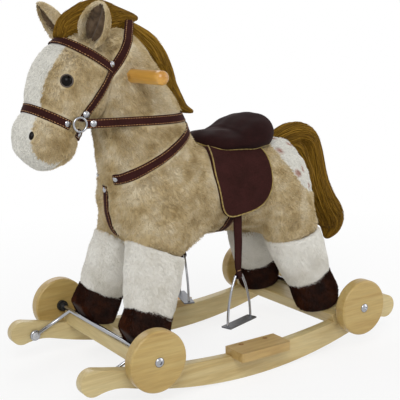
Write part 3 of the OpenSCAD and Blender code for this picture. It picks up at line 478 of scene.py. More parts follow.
def leg_radius(end, s):
    """Radius of a leg at s mm down its axis: it tapers from the hip to the stocking and on to the hoof, with
    a slight swell in each part."""
    hip, seam, low = leg_points[end]
    mid, full = np.linalg.norm(seam - hip), np.linalg.norm(low - hip)
    upper, lower = s / mid, (s - mid) / (full - mid)
    thigh = hip_r + (stocking_r - hip_r) * upper + 2 * np.sin(np.pi * np.clip(upper, 0, 1))
    shank = stocking_r + (fetlock_r - stocking_r) * lower + 2.5 * np.sin(np.pi * np.clip(lower, 0, 1))
    return np.where(s < mid, thigh, shank)


def round_axis(start, stop, s, angle, r):
    """Points round the line from start to stop: s mm along it, at that angle and radius."""
    way = (stop - start) / np.linalg.norm(stop - start)
    out = np.cross(way, [1, 0, 0])
    out /= np.linalg.norm(out)
    fore = np.cross(out, way)
    return (start + s[..., None] * way + (r * np.cos(angle))[..., None] * fore
            + (r * np.sin(angle))[..., None] * out)


turn = np.linspace(0, 2 * np.pi, 48, endpoint=False)
skins = [swept(torso_rows, 90, 72), swept(neck_rows, 80, 60)]
for end, (hip, seam, low) in leg_points.items():
    seam_s = np.linalg.norm(seam - hip)
    s = np.linspace(-0.85 * hip_r, seam_s + 12, 40)[:, None]
    r = np.where(s < 0, hip_r * dome(s / (0.9 * hip_r)), leg_radius(end, s) - 1.5)
    r = np.where(s > seam_s + 4, r * dome((s - seam_s - 4) / 9), r)
    rings = round_axis(hip, low, s + 0 * turn, turn + 0 * s, r + 0 * turn)
    skins += [tube(rings * flip[side]) for side in ("left", "right")]
# A gusset fills the corner between the belly and the back of each foreleg.
gusset_rows = [[30, 270, 0, 0], [34, 268, 20, 20], [76, 247, 23, 23], [118, 228, 28, 28], [140, 216, 0, 0]]
gusset, gusset_faces = swept(gusset_rows, 30, 32)
gusset = gusset + [0, 57, 0]
skins += [(gusset, gusset_faces), (gusset * flip["right"], [f[:, ::-1] for f in gusset_faces])]
body_points, body_faces = melted(skins, 4.0, 16)
body_out, _ = facing(body_points, body_faces)
# The two seams down the front of the neck draw the skin in, and the stuffing leaves it a little uneven.
neck_seam_y = 29
seam_dip = np.exp(-((np.abs(body_points[:, 1]) - neck_seam_y) / 3.5) ** 2)
seam_dip = seam_dip * (body_points[:, 0] > 165) * (body_points[:, 2] > 335)
uneven = 0.9 * lumps(body_points, 60, 3) + 0.5 * lumps(body_points, 26, 4)
body_points = body_points + body_out * (uneven - 2.2 * seam_dip)[:, None]


def rump_patch(p):
    """1 on the white rump, behind a line that slopes back from the saddle to the thigh."""
    edge = np.interp(p[:, 2], [280, 287, 297, 312, 335, 356, 369, 380, 420],
                     [-215, -172, -157, -141, -126, -116, -111, -109, -104])
    edge = edge + 1.6 * lumps(p, 9, 8)
    return ((p[:, 0] < edge) & (p[:, 2] > 276)).astype(float)


spot_rng = np.random.default_rng(5)
spot_at = np.array([[-124, 62, 368], [-168, 73, 331], [-143, 87, 325], [-180, 75, 298], [-138, 22, 383],
                    [-162, 38, 370], [-178, 48, 354], [-203, 40, 318], [-211, 25, 290]], float)
spot_at = np.vstack([spot_at, spot_at * [1, -1, 1] + spot_rng.normal(scale=3, size=spot_at.shape)])
spot_size = np.tile([8.5, 7, 7.5, 6.5, 6, 6, 5.5, 6, 6], 2)


def rump_spots(p):
    """1 in the middle of a reddish spot on the rump, fading out at its rim."""
    near = np.linalg.norm(p[:, None, :] - spot_at, axis=2) / spot_size
    return 0.85 * np.clip(1.7 - 1.3 * near, 0, 1).max(1) * rump_patch(p)


tan_plush = plush_finish("tan_short_pile_plush", "#d9cbad", "#c7b38b", "#aa9367", mottle_mm=36)
sewn("plush_body", body_points, body_faces, tan_plush, ["torso", "neck"], 0.9, rump_patch, rump_spots)

# Head: sewn from the same plush and stuffed, with a white blaze from the forehead down to the chin.
# It is worked out in a frame of its own, whose z axis runs up the face.
head_at, head_tilt = np.array([220.0, 0.0, 560.0]), np.radians(32.7)
head_rows = [
    [-10, 24, 0, 0], [-10, 17, 31, 30], [-9, -3, 49, 46], [-8, -35, 62, 56], [-6, -65, 66, 58],
    [-5, -95, 62, 55], [-6, -118, 53, 51], [-7, -130, 47, 47], [-7, -145, 49, 48], [-8, -165, 51, 49],
    [-9, -187, 43, 43], [-10, -203, 27, 28], [-10, -211, 0, 0]]
head_axes = np.array([[np.cos(head_tilt), 0, np.sin(head_tilt)], [0, 1, 0],
                      [-np.sin(head_tilt), 0, np.cos(head_tilt)]])


def from_head(p):
    """Points of the head's own frame in the toy's."""
    return head_at + np.asarray(p, float) @ head_axes


def to_head(p):
    """Points of the toy in the head's own frame."""
    return (p - head_at) @ head_axes.T


def blaze(p):
    """1 on the white of the face: a band down the forehead and nose that widens over the muzzle and ends
    under the chin."""
    x, y, z = to_head(p).T
    wide = np.interp(-z, [0, 20, 45, 80, 120, 142, 160, 175, 190, 200, 212],
                     [26, 30, 33.5, 32, 31, 29, 32.4, 33.5, 36, 34, 30])
    in_band = np.abs(y) < wide + 1.2 * lumps(p, 8, 9)
    return (in_band & (x > -36 + 1.5 * lumps(p, 8, 10)) & (z < -12)).astype(float)


head_points, head_faces = swept(head_rows, 120, 80)
head_points = from_head(head_points)
head_out, _ = facing(head_points, head_faces)
uneven = 0.9 * lumps(head_points, 46, 11) + 0.4 * lumps(head_points, 20, 12)
head_points = head_points + head_out * uneven[:, None]
sewn("plush_head", head_points, head_faces, tan_plush, ["head"], 0.95, blaze)

# Ears: two deep cups of plush with a brown lining, sewn on behind the browband and leaning outwards.
# They are soft, so the near one hangs a little lower than the far one.
ear_at, ear_lean, ear_l = np.array([235.0, 41.0, 569.0]), np.radians(9), 109
# How far each ear is splayed outwards, and how far its cup is turned.
ear_pose = {"left": np.radians([56, 42]), "right": np.radians([51, 14])}
ear_rows = [[0, 0, 0, 0], [0, 3, 12, 11], [0, ear_l * 0.32, 18, 21], [0, ear_l * 0.6, 17, 22],
            [0, ear_l * 0.82, 12, 16], [0, ear_l * 0.95, 6, 8], [0, ear_l, 0, 0]]


def ear_form(t, angle, lift, splay, face):
    """A cup: ellipses along the ear, whose front half dips in behind a rolled rim. Lift moves the dish
    forwards."""
    line = spline_at(ear_rows, t)
    c = np.cos(angle)
    dip = np.clip((c - 0.45) / 0.4, 0, 1)
    dip = dip ** 2 * (3 - 2 * dip) + 0.25 * np.exp(-(np.sin(angle) / 0.12) ** 2) * (c > 0)
    x = line[..., 2] * np.where(c > 0, 0.9 * c - 1.3 * dip, c) + lift
    y = line[..., 3] * np.sin(angle)
    x, y = x * np.cos(face) - y * np.sin(face), x * np.sin(face) + y * np.cos(face)
    z = line[..., 1] - 12
    x, z = x * np.cos(ear_lean) + z * np.sin(ear_lean), z * np.cos(ear_lean) - x * np.sin(ear_lean)
    y, z = y * np.cos(splay) + z * np.sin(splay), z * np.cos(splay) - y * np.sin(splay)
    return ear_at + np.stack([x, y, z], -1)


def joined(name, skins, finish, node_names, body="horse"):
    """Several closed skins as one piece that rides on a body and stands for the solids named."""
    made = skin_object(name, *stacked(skins), finish)
    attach(made, body)
    if node_names:
        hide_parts(*node_names)
    return made


lining_plush = plush_finish("brown_ear_lining", "#7c6852", "#66533f", "#4c3d2d", mottle_mm=18)
t = np.linspace(0, len(ear_rows) - 1, 60)
angle = np.linspace(0, 2 * np.pi, 64, endpoint=False)
dish_t = np.linspace(0.8, len(ear_rows) - 1.25, 44)[:, None]
dish_angle = np.linspace(-0.9, 0.9, 26) * np.sqrt(np.sin(np.linspace(0.15, np.pi - 0.15, 44)))[:, None]
linings, ear_skins = [], {}
for side in ("left", "right"):
    turned = ear_pose[side]
    rings = ear_form(t[1:-1, None] + 0 * angle, angle + 0 * t[1:-1, None], 0.0, *turned)
    ear_skins[side] = tube(rings * flip[side], ear_form(t[[0, -1]], np.zeros(2), 0.0, *turned) * flip[side])
    sewn("plush_ear_" + side, *ear_skins[side], tan_plush, ["ear_" + side], 0.5)
    front = ear_form(dish_t + 0 * dish_angle, dish_angle, 0.9, *turned)
    back = ear_form(dish_t + 0 * dish_angle, dish_angle, -0.3, *turned)
    linings.append(tube(np.concatenate([front, back[:, ::-1]], 1) * flip[side]))
lining = joined("ear_lining_cloth", linings, lining_plush, ["ear_linings"])
# The lining is marked part way to the tip, so that its finish paints it a little darker: painted shade.
mark(lining, tip=0.6, tone=0.5, patch=0, spot=0)


# Eyes and nostrils: domed safety eyes of polished black plastic, pushed through brown washers,
# and two small pads of the same plastic for the nostrils.
def lathe(profile, at, axis, sides=40):
    """A turned piece: a profile of [radius, height] carried round an axis through at."""
    profile = np.array(profile, float)
    axis = np.asarray(axis, float) / np.linalg.norm(axis)
    one = np.cross(axis, [0.0, 0.0, 1.0] if abs(axis[2]) < 0.9 else [1.0, 0.0, 0.0])
    one /= np.linalg.norm(one)
    two = np.cross(axis, one)
    around = np.linspace(0, 2 * np.pi, sides, endpoint=False)
    ring = np.cos(around)[:, None] * one + np.sin(around)[:, None] * two
    rings = at + profile[1:-1, 1, None, None] * axis + profile[1:-1, 0, None, None] * ring
    return tube(rings, at + profile[[0, -1], 1, None] * axis)


def head_side(x, z, side):
    """The point of the head's side at that place of its own frame, and the way that it faces."""
    dense = spline_at(head_rows, np.linspace(0, len(head_rows) - 1, 400))
    mid, tall, wide = (np.interp(-z, -dense[:, 1], dense[:, k]) for k in (0, 2, 3))
    y = wide * np.sqrt(1 - ((x - mid) / tall) ** 2)
    out = np.array([(x - mid) / tall ** 2, y / wide ** 2, 0])
    face = (out / np.linalg.norm(out)) @ head_axes
    return from_head(np.array([x, y, z])) * flip[side], face * flip[side]


# Polished plastic: nearly black, with one small sharp reflection.
black_plastic, tree, shader = blank("polished_black_plastic", Base_Color=linear("#060404"), Roughness=0.05,
                                    IOR=1.3, Specular_IOR_Level=0.25)
depth = add(tree, "TexNoise", {"Vector": add(tree, "TexCoord").outputs["Object"], "Scale": 1 / (6 * MM)})
iris = add(tree, "ValToRGB", {"Fac": depth.outputs["Fac"]}, stops=[(0.3, "#060404"), (0.8, "#150d09")])
tree.links.new(iris.outputs["Color"], shader.inputs["Base Color"])
# Moulded brown plastic: half matt, with a slight grain.
washer, tree, shader = blank("brown_eye_washer", Base_Color=linear("#3a2a1c"), Roughness=0.4)
grain = add(tree, "TexNoise", {"Vector": add(tree, "TexCoord").outputs["Object"], "Scale": 1 / (1.5 * MM)})
relief = add(tree, "Bump", {"Height": grain.outputs["Fac"], "Strength": 0.2, "Distance": 0.1 * MM})
tree.links.new(relief.outputs[0], shader.inputs["Normal"])
eye_profile = [[0, 6.6], [2.2, 6.4], [4.6, 5.6], [6.8, 4.0], [8.2, 2.0], [8.7, 0.2], [8.6, -1.5], [7, -3],
               [0, -3.5]]
washer_profile = [[0, 0.8], [8.2, 0.9], [9.4, 1.5], [10.3, 1.2], [10.6, 0.2], [10.4, -2], [0, -2.4]]
nostril_profile = [[0, 1.8], [1.6, 1.6], [3.2, 0.8], [4.2, -0.6], [3.6, -2], [0, -2.2]]
# Their places, as x and z in the frame of the head.
eye_at, nostril_at = (24, -74), (27, -171)
eye_skins, washer_skins, nostril_skins = [], [], []
for side in ("left", "right"):
    at, out = head_side(*eye_at, side)
    eye_skins.append(lathe(eye_profile, at + 0.8 * out, out))
    washer_skins.append(lathe(washer_profile, at + 0.4 * out, out))
    at, out = head_side(*nostril_at, side)
    points, faces = lathe(nostril_profile, at + 0.6 * out, out, 24)
    # Each nostril is drawn out along the slope of the muzzle.
    along = (head_axes[2] + 0.35 * head_axes[0]) * flip[side]
    along = along - out * (along @ out)
    along /= np.linalg.norm(along)
    points = points + ((points - at) @ along)[:, None] * along * 0.75
    nostril_skins.append((points, faces))
joined("safety_eyes", eye_skins, black_plastic, ["eyes"])
joined("eye_washers", washer_skins, washer, [])
joined("nostril_pads", nostril_skins, black_plastic, ["nostrils"])

# Stockings and hooves: white plush sleeves sewn to the upper legs, and dark brown plush over the posts' feet.
# The hooves stand on the crossbars, and their fronts keep clear of the rods of the folding axles.
seam_way = {"front": np.array([-np.sin(np.radians(25)), 0, np.cos(np.radians(25))]),
            "rear": np.array([np.sin(np.radians(12)), 0, np.cos(np.radians(12))])}
# A crossbar's place along the base, the radius of its top and of the rocking edge, and the feet's place across.
bar_x, bar_top_r, rocker_r, foot_y = 194, 769.5, 820, 90
bar_tilt = np.arcsin(bar_x / bar_top_r)
# An axle's pivot, and the radius out to which its rod sweeps.
pivot_x, pivot_z, rod_sweep = 285, 53, 82.9
hoof_top_r, hoof_r, sole_h, sole_deep, sole_in = 38.8, 41.8, 17, 25, 17
# The last pair of each finish sets the painted shade at a tuft's root and the painted light at its tip.
white_plush = plush_finish("white_short_pile_plush", "#e9e7e0", "#e1ded6", "#d3cfc4", mottle_mm=60,
                           tones=(0.95, 1.04), painted_root_shade=(0.9, 1.02))
hoof_plush = plush_finish("dark_brown_plush", "#3c1c0a", "#291005", "#180702", mottle_mm=24, sheen=0.08,
                          tones=(0.7, 1.4), painted_root_shade=(0.6, 1.2))
leg_cloth = {"stocking": (white_plush, "white_plush"), "hoof": (hoof_plush, "dark_plush")}


def eased(depth, soft):
    """A soft form of the larger of depth and 0, rounded off over about soft mm."""
    return (soft * np.logaddexp(0, depth / soft))[..., None]


turn = np.linspace(0, 2 * np.pi, 64, endpoint=False)
leg_skins = {}
for end, sign in (("front", 1), ("rear", -1)):
    hip, seam, low = leg_points[end]
    foot = np.array([sign * bar_x, foot_y, rocker_r - bar_top_r * np.cos(bar_tilt)])
    deep = np.linalg.norm(foot - low)
    down, under = (low - hip) / np.linalg.norm(low - hip), (foot - low) / deep
    ring = round_axis(hip, low, 0 * turn, turn, 1 + 0 * turn) - hip
    start = ((seam - hip) @ seam_way[end] - stocking_r * ring @ seam_way[end]) / (down @ seam_way[end])
    stop = ((low - hip) @ under - fetlock_r * ring @ under) / (down @ under) + 3
    share = np.linspace(0, 1, 44)[:, None]
    s = start + (stop - start) * share
    swell = 1.2 - 3.0 * np.exp(-(share / 0.02) ** 2) - 1.5 * np.exp(-((1 - share) / 0.04) ** 2)
    stocking = round_axis(hip, low, s, turn + 0 * s, leg_radius(end, s) + swell)
    # A hoof widens down its wall and turns in below it to a round sole.
    wall = deep - sole_h
    h = np.concatenate([np.linspace(-5, wall, 22),
                        wall + sole_deep * np.sin(np.linspace(0.1, np.pi / 2, 14))])[:, None]
    widened = hoof_top_r + (hoof_r - hoof_top_r) * np.sin(np.pi / 2 * np.clip(h / wall, 0, 1))
    turned_in = 1 - np.cos(np.arcsin(np.clip((h - wall) / sole_deep, 0, 1)))
    r = np.where(h < wall, widened, hoof_r - sole_in * turned_in)
    r = np.maximum(r - 3.5 * np.exp(-((h + 5) / 2.0) ** 2), 0.5)
    hoof = round_axis(low, foot, h, turn, r)
    # It stands just off the crossbar, and is drawn in from the path of the rod: it keeps 0.2 mm from it in
    # front of the post, where there is no more room, and 3 mm on both sides of that.
    bar_way = np.array([-sign * np.sin(bar_tilt), 0, np.cos(bar_tilt)])
    hoof = hoof + eased(0.1 - (hoof - foot) @ bar_way, 0.6) * bar_way
    inward = np.array([-sign * np.cos(bar_tilt), 0, -np.sin(bar_tilt)])
    from_pivot = hoof - [sign * pivot_x, 0, pivot_z]
    spare = 0.2 + 2.8 * np.clip((np.abs(hoof[..., 1] - foot_y) - 13) / 9, 0, 1)
    chord = np.sqrt(np.maximum((rod_sweep + spare) ** 2 - (from_pivot @ bar_way) ** 2, 0))
    hoof = hoof + eased(chord - from_pivot @ inward, 4) * inward
    for side in ("left", "right"):
        for kind, rings in (("stocking", stocking), ("hoof", hoof)):
            name = "%s_%s_%s" % (kind, end, side)
            points, faces = tube(rings * flip[side])
            if kind == "stocking":
                points = points + facing(points, faces)[0] * (0.7 * lumps(points, 30, 21) - 0.2)[:, None]
            leg_skins[name] = (points, faces)
            finish, slot = leg_cloth[kind]
            sewn("plush_" + name, points, faces, finish, [name], 0.9, slot=slot)


# Mane, forelock and tail: long-pile plush hair, combed along the form over a core painted dark brown as the
# shade deep inside the hair.
# A strand stands for a lock of fibres: single ones are too fine to show, so they are drawn coarser.
def hair_finish(name, light, middle, dark):
    """Synthetic hair: strands of several browns, painted darker towards their roots and paler at their tips as
    shade and light in the hair, with the satin gloss of combed fibre.
    """
    made, tree, shader = blank(name, Roughness=0.6, Specular_IOR_Level=0.16)
    tone = add(tree, "Attribute", attribute_name="tone").outputs["Fac"]
    tip = add(tree, "Attribute", attribute_name="tip").outputs["Fac"]
    strand = add(tree, "ValToRGB", {"Fac": tone},
                 stops=[(0.1, dark), (0.9, light), (0.5, middle)]).outputs["Color"]
    # Painted shade: darker towards the root of each strand and on the core.
    shade = add(tree, "MapRange", {"Value": tip, "To Min": 0.7, "To Max": 1.15}).outputs[0]
    coat = add(tree, "Mix", {0: 1.0, 6: strand, 7: shade}, data_type="RGBA", blend_type="MULTIPLY").outputs[2]
    tree.links.new(coat, shader.inputs["Base Color"])
    return made


hair = hair_finish("brown_long_pile_hair", "#997322", "#7c5a11", "#644608")


def strands(rows, count, spread, span, lift, thick, seed, swing=0.25):
    """Combed hair: each strand runs along the form's path from a random start over part of its length, at a
    place of its own on the ellipse, and its tip lifts off. Returns rings of three points along each strand,
    and its tone."""
    rng = np.random.default_rng(seed)
    s = np.linspace(0, 1, 8)
    last = len(rows) - 1
    start = rng.uniform(*spread, count)[:, None] * last
    t = np.clip(start + rng.uniform(*span, count)[:, None] * last * s, 0.02, last)
    angle = rng.uniform(0.0, 2 * np.pi, count)[:, None] + rng.normal(scale=swing, size=(count, 1)) * s
    out = rng.uniform(0.72, 1.0, count)[:, None] + (lift * rng.uniform(0.2, 1.0, count))[:, None] * s ** 2
    line = on_form(rows, t, angle, out)
    way = np.gradient(line, axis=1)
    way /= np.maximum(np.linalg.norm(way, axis=2, keepdims=True), 1e-9)
    one = np.cross(way, [0.3, 0.9, 0.3])
    one /= np.maximum(np.linalg.norm(one, axis=2, keepdims=True), 1e-9)
    two = np.cross(way, one)
    taper = np.sqrt(np.maximum(1.02 - s, 0)) * np.minimum(1, 0.25 + 4 * s)
    wide = thick * rng.uniform(0.6, 1.3, count)[:, None] * taper
    around = np.radians([90, 210, 330])
    rings = line[:, :, None, :] + wide[:, :, None, None] * (
        np.cos(around)[:, None] * one[:, :, None, :] + np.sin(around)[:, None] * two[:, :, None, :])
    return rings, rng.random(count)


def hair_piece(name, node_name, core, groups):
    """One piece of hair: a core painted dark as the shade inside the hair, and groups of strands, each a
    three-sided tube with closed ends.
    """
    core_points, core_faces = core
    points, faces = [core_points], list(core_faces)
    # The core's low tone and tip paint it the darkest brown: painted shade inside the hair.
    tone, tip = [np.full(len(core_points), 0.12)], [np.full(len(core_points), 0.1)]
    total = len(core_points)
    for rings, tones in groups:
        count, steps = rings.shape[:2]
        k = np.arange(3)
        row = 3 * np.arange(steps - 1)[:, None]
        after = (k + 1) % 3
        strip = np.stack([row + k, row + after, row + 3 + after, row + 3 + k], -1).reshape(-1, 4)
        first = total + steps * 3 * np.arange(count)[:, None, None]
        faces.append((first + strip).reshape(-1, 4))
        caps = np.array([[0, 2, 1], [steps * 3 - 3, steps * 3 - 2, steps * 3 - 1]])
        faces.append((first + caps).reshape(-1, 3))
        points.append(rings.reshape(-1, 3))
        tone.append(np.repeat(tones, steps * 3))
        tip.append(np.tile(np.repeat(np.linspace(0.15, 1, steps), 3), count))
        total += count * steps * 3
    made = skin_object(name, np.vstack(points), faces, hair)
    mark(made, tone=np.concatenate(tone), tip=np.concatenate(tip))
    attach(made, "horse")
    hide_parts(node_name)


def thinner(rows, share):
    """The same path with its radii times share."""
    return (np.array(rows, float) * [1, 1, share, share]).tolist()


mane_rows = [[152, 594, 0, 0], [143, 586, 13, 12], [110, 555, 24, 16], [88, 521, 24, 17],
             [72, 487, 19, 16], [50, 457, 13, 12], [32, 447, 0, 0]]
forelock_rows = [[258, 586, 0, 0], [248, 588, 18, 9], [218, 592, 34, 15], [192, 594, 38, 17],
                 [174, 595, 26, 14], [165, 595, 0, 0]]
tail_rows = [[-146, 364, 0, 0], [-158, 372, 15, 17], [-186, 381, 20, 22], [-214, 383, 21, 24],
             [-236, 369, 23, 27], [-247, 335, 24, 28], [-256, 290, 25, 29], [-273, 248, 28, 30],
             [-294, 213, 30, 29], [-305, 190, 22, 23], [-306, 172, 0, 0]]
mane_hair = [[166, 600, 6, 8]] + mane_rows[1:-1] + [[36, 447, 7, 8], [20, 441, 1.5, 1.5]]
brow_hair = [[266, 572, 3, 14], [260, 582, 14, 20], [246, 590, 24, 22], [218, 595, 34, 20],
             [192, 599, 34, 19], [170, 602, 24, 16], [150, 604, 13, 12], [124, 602, 1.5, 2]]
tail_hair = tail_rows[:-2] + [[-299, 192, 23, 23], [-293, 176, 12, 13], [-286, 168, 2, 2]]
under_tail = [[-152, 358, 6, 8], [-185, 366, 13, 20], [-210, 356, 17, 24], [-226, 320, 18, 26],
              [-238, 280, 18, 26], [-256, 240, 18, 24], [-280, 205, 10, 14]]
hair_piece("mane_hair", "mane", swept(thinner(mane_rows, 0.86), 50, 26),
           [strands(mane_hair, 3000, (0.0, 0.8), (0.15, 0.34), 0.1, 0.75, 31)])
hair_piece("forelock_hair", "forelock", swept(thinner(forelock_rows, 0.82), 40, 26),
           [strands(brow_hair, 3000, (0.0, 0.78), (0.15, 0.36), 0.1, 0.75, 32)])
hair_piece("tail_hair", "tail", swept(thinner(tail_rows, 0.84), 70, 28),
           [strands(tail_hair, 3400, (0.0, 0.82), (0.18, 0.36), 0.1, 0.85, 33),
            strands(under_tail, 900, (0.0, 0.75), (0.2, 0.4), 0.1, 0.95, 34)])


# Saddle: two flaps and a foam seat covered in dark brown faux suede, edged with a gold cord.
# The flaps lie on the sides of the trunk, and the seat is sewn on over them.
def suede_finish(name, light, dark):
    """Faux suede: a matt nap, brushed lighter and darker in patches, with a fibrous grain. The fibres are
    drawn 1.6 mm wide, coarser than real ones, so that they show."""
    made, tree, shader = blank(name, Roughness=0.9, Sheen_Weight=0.03, Sheen_Roughness=0.4,
                               Specular_IOR_Level=0.1)
    place = add(tree, "TexCoord").outputs["Object"]
    nap = add(tree, "TexNoise", {"Vector": place, "Scale": 1 / (34 * MM), "Detail": 4.0, "Roughness": 0.65})
    fibre = add(tree, "TexNoise", {"Vector": place, "Scale": 1 / (1.6 * MM), "Detail": 2.0})
    both = add(tree, "Math", {0: nap.outputs["Fac"], 1: fibre.outputs["Fac"]}, operation="ADD").outputs[0]
    shade = add(tree, "MapRange", {"Value": both, "From Min": 0.7, "From Max": 1.3}).outputs[0]
    colour = add(tree, "ValToRGB", {"Fac": shade}, stops=[(0.0, dark), (1.0, light)]).outputs["Color"]
    tree.links.new(colour, shader.inputs["Base Color"])
    relief = add(tree, "Bump", {"Height": fibre.outputs["Fac"], "Strength": 0.35, "Distance": 0.3 * MM})
    tree.links.new(relief.outputs[0], shader.inputs["Normal"])
    return made


def thread_finish(name, light, dark, twist_mm):
    """Twisted thread or cord: darker bands across it, painted shade in the grooves of the twist with no relief,
    drawn two to four times as far apart as twist_mm, because the real twist is too fine to show."""
    made, tree, shader = blank(name, Roughness=0.6, Sheen_Weight=0.2)
    place = add(tree, "TexCoord").outputs["Object"]
    # The grooves are painted shade: a colour band only, with no bump.
    twist = add(tree, "TexWave", {"Vector": place, "Scale": 1 / (twist_mm * MM) / 6.28, "Distortion": 2.0},
                bands_direction="DIAGONAL")
    colour = add(tree, "ValToRGB", {"Fac": twist.outputs["Fac"]},
                 stops=[(0.1, dark), (0.7, light)]).outputs["Color"]
    tree.links.new(colour, shader.inputs["Base Color"])
    return made


suede = suede_finish("dark_brown_faux_suede", "#3a1c1a", "#26110d")
# The seat has the flaps' suede painted darker: painted shade on its upward face.
seat_suede_painted_shade = suede_finish("faux_suede_painted_darker", "#2a1413", "#1b0c0b")
gold = thread_finish("gold_piping_cord", "#9a8442", "#80692f", 2.2)
trunk = spline_at(torso_rows, np.linspace(0, len(torso_rows) - 1, 500))
# How far from the middle the flaps hang, and how thick they are.
flap_in, flap_t = 92, 6


def trunk_at(x):
    """The trunk's middle height, half height and half width at x."""
    return (np.interp(x, trunk[:, 0], trunk[:, k]) for k in (1, 2, 3))


def on_trunk(x, z, grow):
    """Points on the trunk's left side at x and height z, grown by that many mm. Below the middle they hang
    straight down."""
    mid, tall, wide = trunk_at(x)
    z = np.minimum(z, mid + tall + grow - 0.3)
    y = (wide + grow) * dome(np.maximum(z - mid, 0) / (tall + grow))
    return np.stack([x, np.where(z < mid, np.maximum(y, flap_in + grow), y), z], -1)


def cord_round(path, r, sides=8, loop=True):
    """A round cord along a path of points."""
    way = np.roll(path, -1, 0) - np.roll(path, 1, 0) if loop else np.gradient(path, axis=0)
    way /= np.linalg.norm(way, axis=1, keepdims=True)
    one = np.cross(way, [0.31, 0.93, 0.2])
    one /= np.linalg.norm(one, axis=1, keepdims=True)
    two = np.cross(way, one)
    around = np.linspace(0, 2 * np.pi, sides, endpoint=False)[:, None]
    ring = np.cos(around) * one[:, None] + np.sin(around) * two[:, None]
    return tube(path[:, None] + r * ring, loop=loop)


def evenly(path, count, loop=True):
    """The same path with count points at even spacing."""
    path = np.vstack([path, path[:1]]) if loop else path
    far = np.concatenate([[0], np.cumsum(np.linalg.norm(np.diff(path, axis=0), axis=1))])
    at = np.linspace(0, far[-1], count, endpoint=not loop)
    return np.stack([np.interp(at, far, path[:, k]) for k in range(path.shape[1])], 1)


def evened(values, window, past_ends="edge"):
    """Values evened out along their first axis: each becomes the mean of those round it, weighted by the
    window. The last word says how they go on past their ends."""
    half = len(window) // 2
    padded = np.pad(values, [(half, half)] + [(0, 0)] * (values.ndim - 1), mode=past_ends)
    return np.apply_along_axis(np.convolve, 0, padded, window / window.sum(), "valid")


# A flap's outline runs round these circles of x, z and radius, evened out at its corners.
flap_corners = np.array([[10, 386, 8], [23, 345, 15], [14, 278, 13], [-31, 320, 49], [-72, 372, 15]], float)
around = np.linspace(0, 2 * np.pi, 720, endpoint=False)
ways = np.stack([np.cos(around), np.sin(around)], 1)
best = np.argmax(flap_corners[:, :2] @ ways.T + flap_corners[:, 2:], axis=0)
flap_edge = evenly(flap_corners[best, :2] + flap_corners[best, 2:] * ways, 160)
flap_edge = evened(flap_edge, np.hanning(27)[1:-1], "wrap")
flap_mid = np.array([-18.0, 335.0])
share = np.concatenate([np.linspace(0.06, 0.9, 16), [0.94, 0.97, 0.985, 0.995, 1.0]])
plump = flap_t * np.sqrt(np.clip((1.0 - share) / 0.035, 0, 1)) * 0.86 + 0.8
reach = flap_mid + share[:, None, None] * (flap_edge - flap_mid)
outer = on_trunk(reach[..., 0], reach[..., 1], plump[:, None])
uneven = 0.5 * lumps(outer.reshape(-1, 3), 40, 41).reshape(outer.shape[:2])
outer[..., 1] += uneven * (share < 0.93)[:, None]
inner = on_trunk(reach[::-1, :, 0], reach[::-1, :, 1], 0.4 + 0 * reach[..., 0])
piping_in = 1 - 1.5 / np.linalg.norm(flap_edge - flap_mid, axis=1, keepdims=True)
piping = flap_mid + piping_in * (flap_edge - flap_mid)
piping = on_trunk(piping[:, 0], piping[:, 1], flap_t - 0.7)
cords = []
for side in ("left", "right"):
    rings = np.concatenate([outer, inner]) * flip[side]
    flap = joined("suede_flap_" + side, [tube(rings)], suede, ["saddle_flap_" + side])
    cords.append(cord_round(piping * flip[side], 1.2))
# The seat is the upper part of a swept form, down to where it meets the flaps or the plush.
seat_rows = [[-126, 391, 0, 0], [-123, 392, 14, 27], [-114, 396, 30, 56], [-100, 397, 35, 69],
             [-84, 395, 33.5, 75], [-68, 391, 31, 75], [-54, 388, 26.5, 74], [-40, 386, 21.5, 71],
             [-12, 386, 21, 61], [5, 386.5, 20, 50], [18, 387, 14, 32], [24, 387, 0, 0]]
t = np.linspace(0.12, len(seat_rows) - 1.12, 80)[:, None]
fan = np.linspace(0, np.pi, 240)
line = on_form(seat_rows, t + 0 * fan, fan + 0 * t)
mid, tall, wide = trunk_at(line[..., 0])
under = np.interp(line[..., 0], [4, 22], [flap_t + 0.4, 1.0])
inside = ((line[..., 2] - mid) / (tall + under)) ** 2 + (line[..., 1] / (wide + under)) ** 2 < 1
edge = evened(fan[np.argmax(inside | (fan > 2.2), axis=1)], np.ones(7))
across = np.linspace(-1, 1, 61)
crown = on_form(seat_rows, t + 0 * across, edge[:, None] * across)
crown[..., 2] += 0.8 * lumps(crown.reshape(-1, 3), 34, 42).reshape(crown.shape[:2])
base = np.linspace(0.96, -0.96, 31)[None, :, None]
lower = (crown[:, :1] + crown[:, -1:]) / 2 + base * (crown[:, -1:] - crown[:, :1]) / 2 - [0, 0, 1.0]
rings = np.concatenate([crown, lower], 1)
seat = joined("suede_seat", [tube(rings)], seat_suede_painted_shade, ["saddle_seat"])
rim = np.vstack([crown[:, -1], crown[::-1, 0]]) + [0, 0, 0.4]
cords.append(cord_round(evenly(rim, 220), 1.3))
joined("gold_piping", cords, gold, [])

# Bridle, reins, breast strap and girth: folded faux-suede straps 15 mm wide, with a row of tan stitches along
# both edges. They press into the plush, and chromed rivets hold their ends.
strap_w, strap_t, strap_lift = 15.0, 2.3, 0.2
stitch_pitch, stitch_inset = 4.6, 2.1
thread = thread_finish("tan_stitching_thread", "#b98a52", "#8c5f30", 1.4)
plush_points, plush_faces = stacked([(body_points, body_faces), (head_points, head_faces)])
plush_tree = BVHTree.FromPolygons(plush_points.tolist(), [f for s in plush_faces for f in s.tolist()])
head_tree = BVHTree.FromPolygons(head_points.tolist(), [f for s in head_faces for f in s.tolist()])
# How far out the rays start that find the plush.
outside = 400


